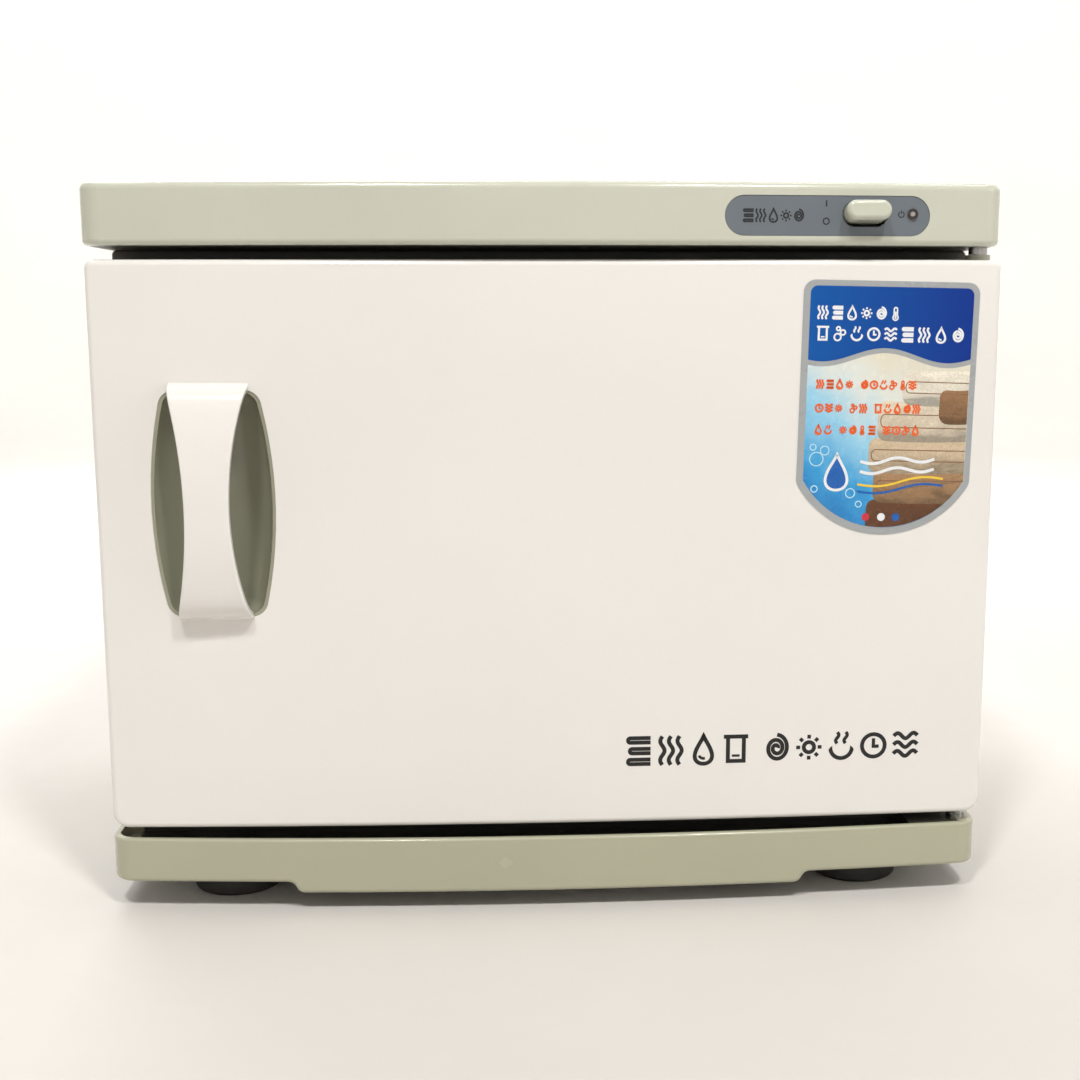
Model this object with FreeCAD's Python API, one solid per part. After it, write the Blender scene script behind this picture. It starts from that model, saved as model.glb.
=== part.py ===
import FreeCAD, Part
import math
import os

# Hot towel cabinet. Millimetres; +Z up; the front faces -Y and the hinges are on the +X side.
# The origin is at the middle of the overall box, on the surface that the feet stand on.

# Overall size and plan
WIDTH = 450.0
DEPTH = 332.0
HEIGHT = 364.5
HALF = WIDTH / 2
REAR = DEPTH / 2
HANDLE_APEX = -DEPTH / 2

# Heights of the stacked parts
SKIRT_SIDE = 15.0
SKIRT_DROP = 5.8
BASE_TOP = 38.0
DOOR_BOTTOM = 43.0
DOOR_TOP = 328.0
CAP_BOTTOM = 334.5

# Bowed fronts: the plane at the two ends and how far the middle stands out
CAP_FRONT = -147.0
CAP_BOW = 10.5
DOOR_FRONT = -146.0
DOOR_BOW = 6.0
DOOR_BACK = -106.0
DOOR_LEFT = -223.0
DOOR_RIGHT = HALF
PLAN_CORNER = 12.0
IN_FRONT = -200.0

# Moulding walls and edge radii
CAP_WALL = 3.5
BASE_WALL = 3.2
DOOR_WALL = 3.0
DECK = 3.0
CAP_TOP_RADIUS = 3.6
CAP_LOWER_RADIUS = 3.0
BASE_RIM_RADIUS = 1.3
BASE_SKIRT_RADIUS = 2.4
DOOR_EDGE_RADIUS = 3.0

# Trough in the base behind its front rim
TROUGH_FLOOR = 31.0
TROUGH_REAR = -118.0
TROUGH_END = 188.0

# Cabinet body
SHEET = 1.2
BODY_HALF = 221.0
BODY_FRONT = -102.0
BODY_REAR = 160.0
FRAME_DEPTH = 8.0
FRAME_BACK = BODY_FRONT + FRAME_DEPTH
FLANGE = 14.0
FLANGE_Y = BODY_REAR - 3.2
PANEL_BACK = BODY_REAR - 0.8
ROOF_UNDERSIDE = CAP_BOTTOM - SHEET
DECK_UNDERSIDE = BASE_TOP - DECK
TRAY_TOP = CAP_BOTTOM + 2.5

# Heated chamber (inside faces)
CHAMBER_HALF = 181.0
CHAMBER_WALL = CHAMBER_HALF + SHEET
CHAMBER_FLOOR = 57.0
CHAMBER_ROOF = 313.0
CHAMBER_REAR = 138.0
CHAMBER_CORNER = 8.0
RAIL_LEVELS = (128.0, 216.0)
RAIL_FRONT = -78.0
RAIL_REAR = 126.0

# Door hinge
HINGE_X = 217.0
HINGE_Y = -132.0
PIN_R = 2.5
BUSH_BORE_R = 2.55
BUSH_R = 4.0
BUSH_LENGTH = 16.0
COLLAR_R = 6.2
BOSS_R = 7.5
WASHER_R = 4.6
UPPER_COLLAR = 2.8
LOWER_COLLAR = 2.2
RUNNING_GAP = 0.3
BRACKET = 2.0
BRACKET_SCREW_X = 201.0
BRACKET_SCREW_YS = (-126.0, BODY_FRONT + 4)

# Handle
HANDLE_X = -165.4
STRAP_TOP = 269.5
STRAP_BOTTOM = 151.3
STRAP_HALF_TOP = 20.8
STRAP_HALF_MIDDLE = 10.8
STRAP_HALF_BOTTOM = 19.4
STRAP_THICKNESS = 3.5
STRAP_EDGE_RADIUS = 0.9
PEG_R = 1.4
RECESS_TOP = 264.2
RECESS_BOTTOM = 154.6
RECESS_R = 29.5
RECESS_END_R = 22.5
RECESS_AXIS_STAND_OFF = 5.0
RECESS_WALL = 1.5
RECESS_CORNER = 7.0

# Door catch, gasket, inner plateau and sticker
CATCH_X = -201.0
CATCH_Z = 211.0
CATCH_FACE = BODY_FRONT - 2.6
GASKET_FACE = BODY_FRONT - 0.4
PLATEAU_FACE = -97.0
STICKER_X = 168.6
STICKER_TOP = 317.6
STICKER_HALF = 44.5
STICKER_SIDE = 100.0
STICKER_LENGTH = 126.0
STICKER_TILT = 1.1
STICKER_THICKNESS = 0.25

# Controls
PANEL_X = (84.8, 186.4)
PANEL_Z = (338.9, 358.2)
PANEL_RECESS = 0.8
LABEL_THICKNESS = 0.5
ROCKER_X = 154.2
ROCKER_Z = 349.6
ROCKER_WIDTH = 22.0
ROCKER_HEIGHT = 9.6
ROCKER_TILT = 6.5
ROCKER_PIVOT_Y = -146.8
ROCKER_FACE_Y = -161.0
ROCKER_SIDE_GAP = 0.5
ROCKER_SWING_GAP = 1.45
LAMP_X = 177.7
LAMP_Z = 349.6

# Feet
FOOT_X = 167.0
FOOT_FRONT_Y = -110.0
FOOT_REAR_Y = 122.0
FOOT_HEIGHT = 17.0
FOOT_TOP_R = 25.0
FOOT_BOTTOM_R = 23.5
FOOT_POCKET = 8.0
PLATE_TOP = FOOT_HEIGHT + SHEET

# Fastener places, seen from above or from the front
CAP_SCREWS = [(-195, -80), (-70, -80), (70, -80), (-185, 140), (0, 140), (175, 140)]
BODY_SCREWS = [(x, BODY_FRONT + 4) for x in (-150, 0, 150)]
BODY_SCREWS += [(x, y) for x in (-212, 212) for y in (-20, 138)]
PLATE_SCREWS = [(-200, 10), (200, 10), (0, -128), (0, 146)]
REAR_SCREWS = [(x, z) for x in (-213, 213) for z in (50, 186, 321)]
REAR_SCREWS += [(x, z) for x in (-75, 75) for z in (44.5, 326)]
DOOR_BOSSES = [(x, z) for x in (-207, 207) for z in (76, 160, 296)]

# Rear services and wiring
INLET_X = 198.0
INLET_Z = 78.0
INLET_SCREW_DROP = 20.0
FUSE_Z = 122.0
EARTH_X = 165.0
EARTH_Z = 60.0
LOOM_X = 208.0
LOOM_Y = 66.0
TERMINAL_TOP = BASE_TOP + SHEET + 12
TERMINAL_YS = (90, 102, 114)
THERMOSTAT_Y = 96.0
THERMOSTAT_Z = 160.0
HEATER_THICKNESS = 3.0

X = FreeCAD.Vector(1, 0, 0)
Y = FreeCAD.Vector(0, 1, 0)
Z = FreeCAD.Vector(0, 0, 1)
TOUCH = 0.01


# ---------------------------------------------------------------- shape helpers

def vec(x, y, z):
    return FreeCAD.Vector(x, y, z)


def box(x0, x1, y0, y1, z0, z1):
    return Part.makeBox(x1 - x0, y1 - y0, z1 - z0, vec(x0, y0, z0))


def rod(start, axis, length, radius):
    return Part.makeCylinder(radius, length, start, axis)


def tube(start, axis, length, outer, inner):
    return rod(start, axis, length, outer).cut(rod(start, axis, length, inner))


def fuse(shapes):
    first = shapes[0]
    return first.multiFuse(shapes[1:]).removeSplitter()


def group(solids):
    return Part.makeCompound(solids)


def cut_all(shape, tools):
    for tool in tools:
        shape = shape.cut(tool)
    return shape


def plate_from(edges, thickness):
    """Flat outline in the front view, extruded towards the rear."""
    return Part.Face(Part.Wire(Part.__sortEdges__(edges))).extrude(Y * thickness)


def mid_point(edge):
    return edge.valueAt((edge.FirstParameter + edge.LastParameter) / 2)


def runs_along(edge, axis):
    if not isinstance(edge.Curve, Part.Line):
        return False
    return abs(edge.Curve.Direction.dot(axis)) > 0.999


def round_where(shape, radius, wanted):
    edges = [edge for edge in shape.Edges if wanted(edge)]
    return shape.makeFillet(radius, edges)


def bow_at(x, front, bow):
    """Y of a bowed front at x; the bow is a shallow arc, close to a parabola."""
    return front - bow * (1 - (x / HALF) ** 2)


def bowed_prism(x0, x1, front, bow, rear, z0, z1, corner=0.0):
    """Upright block with a bowed front and, if asked, rounded plan corners."""
    left = vec(x0, bow_at(x0, front, bow), z0)
    right = vec(x1, bow_at(x1, front, bow), z0)
    apex = vec(0, front - bow, z0)
    rear_right, rear_left = vec(x1, rear, z0), vec(x0, rear, z0)
    edges = [Part.Arc(left, apex, right).toShape()]
    edges.append(Part.makeLine(right, rear_right))
    edges.append(Part.makeLine(rear_right, rear_left))
    edges.append(Part.makeLine(rear_left, left))
    solid = Part.Face(Part.Wire(edges)).extrude(Z * (z1 - z0))
    if corner > 0:
        solid = round_where(solid, corner, lambda edge: runs_along(edge, Z))
    return solid


def cap_prism(inset, z0, z1, corner=0.0, rear=REAR, front_inset=None):
    """Plan of the cap and the base, with its walls moved in."""
    front = CAP_FRONT + (inset if front_inset is None else front_inset)
    return bowed_prism(inset - HALF, HALF - inset, front, CAP_BOW, rear - inset, z0, z1, corner)


def door_prism(inset, rear, z0=DOOR_BOTTOM, z1=DOOR_TOP, front_inset=None):
    """Plan of the door, with its walls moved in."""
    front = DOOR_FRONT + (inset if front_inset is None else front_inset)
    return bowed_prism(DOOR_LEFT + inset, DOOR_RIGHT - inset, front, DOOR_BOW, rear, z0, z1)


def rounded_block(x0, x1, y0, y1, z0, z1, axis, radius):
    """Block whose four edges along one axis are rounded."""
    return round_where(box(x0, x1, y0, y1, z0, z1), radius, lambda edge: runs_along(edge, axis))


def slot(x, half_length, y0, y1, z0, z1, axis):
    """Round-ended slot, long along X; its ends are almost full radii."""
    width = (z1 - z0) if axis == Y else (y1 - y0)
    return rounded_block(x - half_length, x + half_length, y0, y1, z0, z1, axis, width * 0.475)


def capsule(x0, x1, z0, z1, y0, y1, inset=0.0):
    """Stadium outline in the front view, extruded from y0 to y1."""
    radius = (z1 - z0) / 2 - inset
    middle = (z0 + z1) / 2
    low, high = middle - radius, middle + radius
    left, right = x0 + inset + radius, x1 - inset - radius
    left_low, left_high = vec(left, y0, low), vec(left, y0, high)
    right_low, right_high = vec(right, y0, low), vec(right, y0, high)
    edges = [Part.makeLine(left_low, right_low)]
    edges.append(Part.Arc(right_low, vec(right + radius, y0, middle), right_high).toShape())
    edges.append(Part.makeLine(right_high, left_high))
    edges.append(Part.Arc(left_high, vec(left - radius, y0, middle), left_low).toShape())
    return Part.Face(Part.Wire(edges)).extrude(Y * (y1 - y0))


def screw(seat, axis, shank, radius=1.7, head_r=3.6, head_h=2.2):
    """Pan head screw with a cross recess. The head sits on the seat; the shank runs along the axis."""
    crown = seat - axis * head_h
    head = rod(crown, axis, head_h, head_r)
    head = round_where(head, head_h * 0.45,
                       lambda edge: edge.Closed and abs((mid_point(edge) - crown).dot(axis)) < TOUCH)
    solid = head.fuse(rod(seat, axis, shank, radius))
    side = X if abs(axis.dot(X)) < 0.5 else Y
    other = axis.cross(side)
    length, width, depth = head_r * 1.1, 0.8, head_h * 0.6
    for along, across in ((side, other), (other, side)):
        recess = Part.makeBox(length, width, depth, vec(-length / 2, -width / 2, 0))
        turned = FreeCAD.Matrix(
            along.x, across.x, axis.x, 0,
            along.y, across.y, axis.y, 0,
            along.z, across.z, axis.z, 0,
            0, 0, 0, 1)
        recess = recess.transformGeometry(turned)
        recess.translate(crown)
        solid = solid.cut(recess)
    return solid


def screws(seats, axis, shank, **sizes):
    return group([screw(seat, axis, shank, **sizes) for seat in seats])


def wire_run(points, bend, radius):
    """Round wire along straight runs that are joined by tangent arcs of one bend radius."""
    edges = []
    last = points[0]
    for before, corner, after in zip(points, points[1:], points[2:]):
        into = (corner - before).normalize()
        out = (after - corner).normalize()
        turn = into.getAngle(out)
        trim = bend * math.tan(turn / 2)
        start = corner - into * trim
        end = corner + out * trim
        inward = (out - into).normalize()
        middle = corner + inward * (bend / math.cos(turn / 2) - bend)
        edges.append(Part.makeLine(last, start))
        edges.append(Part.Arc(start, middle, end).toShape())
        last = end
    edges.append(Part.makeLine(last, points[-1]))
    direction = (points[1] - points[0]).normalize()
    section = Part.Wire(Part.makeCircle(radius, points[0], direction))
    return Part.Wire(edges).makePipeShell([section], True, True)


# ---------------------------------------------------------------- fastener groups

def cap_screws():
    """Up through the shell's roof and the tray into the cap's bosses."""
    return screws([vec(x, y, ROOF_UNDERSIDE) for x, y in CAP_SCREWS], Z, 14)


def body_screws():
    """Up through the base deck into the front frame and the shell's bottom flanges."""
    return screws([vec(x, y, DECK_UNDERSIDE) for x, y in BODY_SCREWS], Z, 9)


def rear_screws():
    return screws([vec(x, PANEL_BACK, z) for x, z in REAR_SCREWS], -Y, 7)


def bottom_plate_screws():
    return screws([vec(x, y, FOOT_HEIGHT) for x, y in PLATE_SCREWS], Z, 10)


def foot_screws():
    return screws([vec(x, y, FOOT_POCKET) for x, y in foot_places()], Z, 19, head_r=4.2)


def hinge_screws():
    """Two down into the tray and front frame, two up into the base and front frame."""
    upper = [vec(BRACKET_SCREW_X, y, TRAY_TOP + BRACKET) for y in BRACKET_SCREW_YS]
    lower = [vec(BRACKET_SCREW_X, y, DECK_UNDERSIDE - BRACKET) for y in BRACKET_SCREW_YS]
    short_upper = BRACKET + TRAY_TOP - CAP_BOTTOM - 0.2
    short_lower = BRACKET + DECK - 0.2
    long_enough = 14
    shapes = [screw(upper[0], -Z, short_upper), screw(upper[1], -Z, long_enough)]
    shapes += [screw(lower[0], Z, short_lower), screw(lower[1], Z, long_enough)]
    return group(shapes)


def door_panel_screws():
    return screws([vec(x, DOOR_BACK, z) for x, z in DOOR_BOSSES], -Y, 12, head_h=1.8)


def inlet_screws():
    seats = [vec(INLET_X, PANEL_BACK + 2.5, INLET_Z + side * INLET_SCREW_DROP) for side in (-1, 1)]
    return screws(seats, -Y, 6, radius=1.5, head_r=2.8, head_h=1.8)


def catch_plate_screws():
    """Countersunk screws that hold the strike plate, flush with its face."""
    head_h, shank = 1.0, 4.0
    shapes = []
    for z in (CATCH_Z - 17, CATCH_Z + 17):
        face = vec(CATCH_X, CATCH_FACE - RUNNING_GAP, z)
        head = Part.makeCone(2.4, 1.2, head_h, face, -Y)
        shapes.append(fuse([head, rod(face, -Y, shank, 1.2)]))
    return group(shapes)


def foot_places():
    return [(x, y) for x in (-FOOT_X, FOOT_X) for y in (FOOT_FRONT_Y, FOOT_REAR_Y)]


# ---------------------------------------------------------------- top cover and controls

def cap_block():
    """Outer envelope of the cap, before it is hollowed."""
    block = cap_prism(0, CAP_BOTTOM, HEIGHT, PLAN_CORNER)
    block = round_where(block, CAP_TOP_RADIUS, lambda edge: mid_point(edge).z > HEIGHT - TOUCH)
    return round_where(block, CAP_LOWER_RADIUS, lambda edge: mid_point(edge).z < CAP_BOTTOM + TOUCH)


def panel_slice(inset, outer, inner):
    """Capsule slice that follows the cap's front between two depths below its surface."""
    slab = capsule(*PANEL_X, *PANEL_Z, IN_FRONT, CAP_FRONT + 10, inset)
    inside = cap_prism(0, CAP_BOTTOM, HEIGHT, front_inset=inner)
    return slab.cut(inside).common(cap_prism(0, CAP_BOTTOM, HEIGHT, front_inset=outer))


def rocker_aperture():
    half_width = ROCKER_WIDTH / 2 + ROCKER_SIDE_GAP
    half_height = ROCKER_HEIGHT / 2 + ROCKER_SWING_GAP
    return capsule(ROCKER_X - half_width, ROCKER_X + half_width,
                   ROCKER_Z - half_height, ROCKER_Z + half_height, IN_FRONT, CAP_FRONT + 7)


def lamp_rod(radius, y0, y1):
    return rod(vec(LAMP_X, y0, LAMP_Z), Y, y1 - y0, radius)


def lamp_hole():
    return lamp_rod(2.0, IN_FRONT, CAP_FRONT + 7)


def top_cover():
    """Deep cap with a shallow dish on top, bosses inside and the controls let into its front."""
    inner = cap_prism(CAP_WALL, CAP_BOTTOM - 1, HEIGHT - CAP_WALL, PLAN_CORNER - CAP_WALL)
    cover = cap_block().cut(inner)
    margin, dish_depth, dish_corner = 20.0, 1.2, 16.0
    dish = rounded_block(margin - HALF, HALF - margin, margin + CAP_FRONT - 5, REAR - margin,
                         HEIGHT - dish_depth, HEIGHT + 5, Z, dish_corner)
    cover = cover.cut(dish)
    boss_r = 4.0
    boss_height = HEIGHT - CAP_WALL - TRAY_TOP + 0.5
    bosses = [rod(vec(x, y, TRAY_TOP), Z, boss_height, boss_r) for x, y in CAP_SCREWS]
    cover = fuse([cover] + bosses)
    return cut_all(cover, [panel_slice(0, -5, PANEL_RECESS), rocker_aperture(), lamp_hole(), cap_screws()])


def cap_tray():
    """Closes the cap from below and carries the upper hinge."""
    tray = cap_prism(CAP_WALL, CAP_BOTTOM, TRAY_TOP, PLAN_CORNER - CAP_WALL)
    pin_hole = rod(vec(HINGE_X, HINGE_Y, CAP_BOTTOM - 1), Z, 5, PIN_R)
    loom_hole = rod(vec(LOOM_X, LOOM_Y, CAP_BOTTOM - 1), Z, 5, 5)
    slots = [slot(x, 14, -60, -56, CAP_BOTTOM - 1, TRAY_TOP + 1, Z) for x in range(-120, 121, 40)]
    return cut_all(tray, [pin_hole, loom_hole, group(slots), cap_screws(), hinge_screws()])


def control_label():
    """Grey printed strip that lies in the capsule pocket of the cap's front."""
    edge_gap = 0.15
    label = panel_slice(edge_gap, PANEL_RECESS - LABEL_THICKNESS, PANEL_RECESS)
    return cut_all(label, [rocker_aperture(), lamp_hole()])


def switch_body():
    """Moulded housing behind the cap's front, with a well for the rocker and three tabs."""
    side, half_z = 3.2, 8.0
    back, well_back, tab_end = -128.0, -140.5, -121.0
    half_x = ROCKER_WIDTH / 2 + side
    body = box(ROCKER_X - half_x, ROCKER_X + half_x, -151.5, back, ROCKER_Z - half_z, ROCKER_Z + half_z)
    well_x = ROCKER_WIDTH / 2 + ROCKER_SIDE_GAP
    well_z = half_z - 1.1
    well = box(ROCKER_X - well_x, ROCKER_X + well_x, -152, well_back, ROCKER_Z - well_z, ROCKER_Z + well_z)
    body = body.cut(well).common(cap_prism(CAP_WALL, CAP_BOTTOM, HEIGHT))
    tabs = [box(ROCKER_X + x - 0.4, ROCKER_X + x + 0.4, back, tab_end, ROCKER_Z - 3, ROCKER_Z + 3)
            for x in (-8, 0, 8)]
    return fuse([body] + tabs).cut(switch_pivot())


def switch_pivot():
    length = ROCKER_WIDTH + 5
    return rod(vec(ROCKER_X - length / 2, ROCKER_PIVOT_Y, ROCKER_Z), X, length, 1.0)


def switch_rocker():
    """Capsule button on a crosswise pivot, resting with its upper edge pressed in."""
    half_width, half_height = ROCKER_WIDTH / 2, ROCKER_HEIGHT / 2
    button = capsule(ROCKER_X - half_width, ROCKER_X + half_width,
                     ROCKER_Z - half_height, ROCKER_Z + half_height, ROCKER_FACE_Y, -144.5)
    button = round_where(button, 2.2, lambda edge: mid_point(edge).y < ROCKER_FACE_Y + TOUCH)
    length = ROCKER_WIDTH + 2
    bore = rod(vec(ROCKER_X - length / 2, ROCKER_PIVOT_Y, ROCKER_Z), X, length, 1.05)
    button = button.cut(bore)
    button.rotate(vec(ROCKER_X, ROCKER_PIVOT_Y, ROCKER_Z), X, -ROCKER_TILT)
    return button


def lamp_face():
    """Y of the label's face at the indicator lamp."""
    return bow_at(LAMP_X, CAP_FRONT, CAP_BOW) + PANEL_RECESS - LABEL_THICKNESS


def indicator_bezel():
    face = lamp_face()
    flange = tube(vec(LAMP_X, face - 0.9, LAMP_Z), Y, 0.9, 2.5, 1.5)
    sleeve = tube(vec(LAMP_X, face - 0.5, LAMP_Z), Y, 7, 2.0, 1.5)
    behind = cap_prism(0, CAP_BOTTOM, HEIGHT, front_inset=PANEL_RECESS - LABEL_THICKNESS)
    return fuse([flange.cut(behind), sleeve])


def indicator_lens():
    face = lamp_face()
    front = face - 0.7
    lens = lamp_rod(1.5, front, face + 4)
    return round_where(lens, 0.5, lambda edge: edge.Closed and mid_point(edge).y < front + TOUCH)


def indicator_lamp():
    face = lamp_face()
    bulb = lamp_rod(1.4, face + 4, face + 9)
    body = lamp_rod(2.2, face + 9, face + 16)
    return fuse([bulb, body])


# ---------------------------------------------------------------- base, bottom plate and feet

def skirt_cut():
    """Everything below the skirt's lower edge: level at the sides, lower across the front's middle."""
    high, low = SKIRT_SIDE, SKIRT_SIDE - SKIRT_DROP
    outer, inner = 135.0, 126.0
    run = outer - inner
    radius = (run ** 2 + SKIRT_DROP ** 2) / (4 * SKIRT_DROP)
    turn = math.asin(run / 2 / radius)
    reach = HALF + 10

    def step(sign):
        """Two equal arcs that join the high and the low stretch of the edge."""
        upper = vec(sign * outer, IN_FRONT, high)
        lower = vec(sign * inner, IN_FRONT, low)
        middle = (upper + lower) * 0.5
        dx, dz = radius * math.sin(turn / 2), radius * (1 - math.cos(turn / 2))
        first = Part.Arc(upper, upper + vec(-sign * dx, 0, -dz), middle).toShape()
        second = Part.Arc(middle, lower + vec(sign * dx, 0, dz), lower).toShape()
        return upper, lower, [first, second]

    right_up, right_low, right = step(1)
    left_up, left_low, left = step(-1)
    far_right, far_left = vec(reach, IN_FRONT, high), vec(-reach, IN_FRONT, high)
    under_right, under_left = vec(reach, IN_FRONT, 0), vec(-reach, IN_FRONT, 0)
    edges = right + left
    for start, end in ((under_right, far_right), (far_right, right_up), (right_low, left_low),
                       (left_up, far_left), (far_left, under_left), (under_left, under_right)):
        edges.append(Part.makeLine(start, end))
    rear = box(-reach, reach, -60, 200, 0, high)
    return plate_from(edges, 400).fuse(rear)


def base_moulding():
    """Open-bottomed plinth with a deck, a trough behind its front rim, and posts for screws."""
    outer = cap_prism(0, 5, BASE_TOP, PLAN_CORNER).cut(skirt_cut())
    probe = cap_prism(1, 0, BASE_TOP + 5, PLAN_CORNER - 1)

    def on_lower_rim(edge):
        middle = mid_point(edge)
        return middle.z < SKIRT_SIDE + 0.1 and not probe.isInside(middle, TOUCH, True)

    outer = round_where(outer, BASE_SKIRT_RADIUS, on_lower_rim)
    outer = round_where(outer, BASE_RIM_RADIUS, lambda edge: mid_point(edge).z > BASE_TOP - TOUCH)
    inner_corner = PLAN_CORNER - BASE_WALL
    base = outer.cut(cap_prism(BASE_WALL, 0, DECK_UNDERSIDE, inner_corner))

    trough = cap_prism(BASE_WALL, TROUGH_FLOOR, BASE_TOP + 5, inner_corner, TROUGH_REAR + BASE_WALL)
    trough = trough.common(box(-HALF, TROUGH_END, IN_FRONT, 0, 0, 60))
    under_trough = TROUGH_FLOOR - DECK
    casing_rear = TROUGH_REAR + BASE_WALL + DECK
    casing = cap_prism(BASE_WALL - 0.2, under_trough, BASE_TOP - 1, inner_corner, casing_rear)
    casing = casing.common(box(-HALF, TROUGH_END + DECK, IN_FRONT, 0, 0, 60))

    post_r = 5.0
    posts = []
    for x, y in foot_places() + PLATE_SCREWS:
        ceiling = under_trough if y < TROUGH_REAR else DECK_UNDERSIDE
        posts.append(rod(vec(x, y, PLATE_TOP), Z, ceiling - PLATE_TOP + 0.5, post_r))
    base = fuse([base, casing] + posts).cut(trough)

    pin_hole = rod(vec(HINGE_X, HINGE_Y, BASE_TOP - 5), Z, 10, PIN_R)
    slots = [slot(x, 15, y - 2, y + 2, BASE_TOP - 5, BASE_TOP + 2, Z)
             for x in (-120, -80, -40, 40, 80, 120) for y in (20, 60, 100)]
    return cut_all(base, [pin_hole, group(slots), body_screws(), bottom_plate_screws(),
                          foot_screws(), hinge_screws()])


def bottom_plate():
    """Sheet that closes the plinth, with air slots under the heater."""
    plate = cap_prism(BASE_WALL + 0.2, FOOT_HEIGHT, PLATE_TOP, PLAN_CORNER - BASE_WALL)
    slots = [slot(x, 18, y - 2, y + 2, FOOT_HEIGHT - 1, PLATE_TOP + 1, Z)
             for x in range(-100, 101, 50) for y in range(-60, 41, 20)]
    return cut_all(plate, [group(slots), bottom_plate_screws(), foot_screws()])


def foot(x, y):
    """Rubber foot: a shallow cone with a pocket for its screw's head."""
    cone = Part.makeCone(FOOT_BOTTOM_R, FOOT_TOP_R, FOOT_HEIGHT, vec(x, y, 0), Z)
    cone = round_where(cone, 2.0, lambda edge: edge.Closed and mid_point(edge).z < TOUCH)
    pocket = rod(vec(x, y, -1), Z, FOOT_POCKET + 1, 5.5)
    hole = rod(vec(x, y, 0), Z, FOOT_HEIGHT, 1.7)
    return cone.cut(pocket).cut(hole)


# ---------------------------------------------------------------- cabinet body

def outer_shell():
    """Folded sheet: two sides and a roof, with flanges along the bottom and the rear."""
    outer = rounded_block(-BODY_HALF, BODY_HALF, FRAME_BACK, BODY_REAR, 0, CAP_BOTTOM, Y, 3.0)
    inner = rounded_block(SHEET - BODY_HALF, BODY_HALF - SHEET, FRAME_BACK - 1, BODY_REAR + 1,
                          -10, ROOF_UNDERSIDE, Y, 1.8)
    below = box(-HALF, HALF, -REAR, REAR, -1, BASE_TOP)
    shell = outer.cut(inner).cut(below)
    lap = 0.2
    reach = BODY_HALF - SHEET + lap
    roof = ROOF_UNDERSIDE + lap
    flanges = []
    for side in (-1, 1):
        low, high = sorted((side * (reach - FLANGE - 2), side * reach))
        flanges.append(box(low, high, FRAME_BACK, FLANGE_Y, BASE_TOP, BASE_TOP + SHEET))
        flanges.append(box(low, high, FLANGE_Y, FLANGE_Y + SHEET, BASE_TOP, roof))
    flanges.append(box(-reach, reach, FLANGE_Y, FLANGE_Y + SHEET, CAP_BOTTOM - FLANGE, roof))
    flanges.append(box(-reach, reach, FLANGE_Y, FLANGE_Y + SHEET, BASE_TOP, BASE_TOP + FLANGE))
    shell = fuse([shell] + flanges)
    loom_hole = rod(vec(LOOM_X, LOOM_Y, CAP_BOTTOM - 3), Z, 5, 5)
    return cut_all(shell, [loom_hole, cap_screws(), body_screws(), rear_screws(),
                           inlet_cutout(), fuse_cutout()])


def rear_panel():
    """Flat sheet with two bands of louvre slots and the service cut-outs."""
    reach = BODY_HALF - SHEET - 0.3
    panel = rounded_block(-reach, reach, PANEL_BACK - SHEET, PANEL_BACK, BASE_TOP + 0.3,
                          ROOF_UNDERSIDE - 0.3, Y, 2)
    rows, pitch = 6, 10
    columns = range(-120, 121, 60)
    slots = []
    for first in (74, 250):
        for row in range(rows):
            z = first + row * pitch
            slots += [slot(x, 22, BODY_REAR - 5, BODY_REAR + 2, z - 2, z + 2, Y) for x in columns]
    return cut_all(panel, [group(slots), inlet_cutout(), fuse_cutout(), inlet_screws(),
                           earth_stud(), rear_screws()])


def front_frame():
    """Moulded ring at the mouth of the cabinet, holding the magnet catch."""
    frame = rounded_block(-BODY_HALF, BODY_HALF, BODY_FRONT, FRAME_BACK, BASE_TOP, CAP_BOTTOM, Y, 2.5)
    mouth = rounded_block(-CHAMBER_HALF, CHAMBER_HALF, BODY_FRONT - 1, FRAME_BACK + 1,
                          CHAMBER_FLOOR, CHAMBER_ROOF, Y, CHAMBER_CORNER)
    frame = frame.cut(mouth)
    frame = round_where(frame, 1.2, lambda edge: abs(mid_point(edge).y - BODY_FRONT) < TOUCH)
    return cut_all(frame, [catch_magnet(), body_screws(), hinge_screws()])


def inner_chamber():
    """Bright liner with a flange round its mouth."""
    outer = rounded_block(-CHAMBER_WALL, CHAMBER_WALL, FRAME_BACK, CHAMBER_REAR + SHEET,
                          CHAMBER_FLOOR - SHEET, CHAMBER_ROOF + SHEET, Y, CHAMBER_CORNER + SHEET)
    space = rounded_block(-CHAMBER_HALF, CHAMBER_HALF, FRAME_BACK - 1, CHAMBER_REAR,
                          CHAMBER_FLOOR, CHAMBER_ROOF, Y, CHAMBER_CORNER)
    lip = 11.0
    flange = rounded_block(-CHAMBER_HALF - lip, CHAMBER_HALF + lip, FRAME_BACK, FRAME_BACK + SHEET,
                           CHAMBER_FLOOR - lip, CHAMBER_ROOF + lip, Y, 12)
    return fuse([outer, flange]).cut(space).cut(rail_rivets())


def insulation_blankets():
    """Mineral wool slabs round the chamber, clear of the wiring corner at the right rear."""
    clear = 0.2
    side = CHAMBER_WALL + clear
    outside, low, top = 200.0, 42.0, 330.0
    roof_face, floor_face = CHAMBER_ROOF + SHEET + clear, 49.0
    front = FRAME_BACK + SHEET + 0.3
    slabs = [box(-outside, -side, front, 150, low, top),
             box(side, outside, front, 62, low, top),
             box(-side, side, front, CHAMBER_REAR, roof_face, top),
             box(-side, side, front, CHAMBER_REAR, low, floor_face),
             box(-side, 155, CHAMBER_REAR + SHEET + clear, 153, 60, roof_face - clear)]
    used = [cap_screws(), rear_screws(), body_screws(), rail_rivets()]
    return group([cut_all(slab, used) for slab in slabs])


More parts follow.
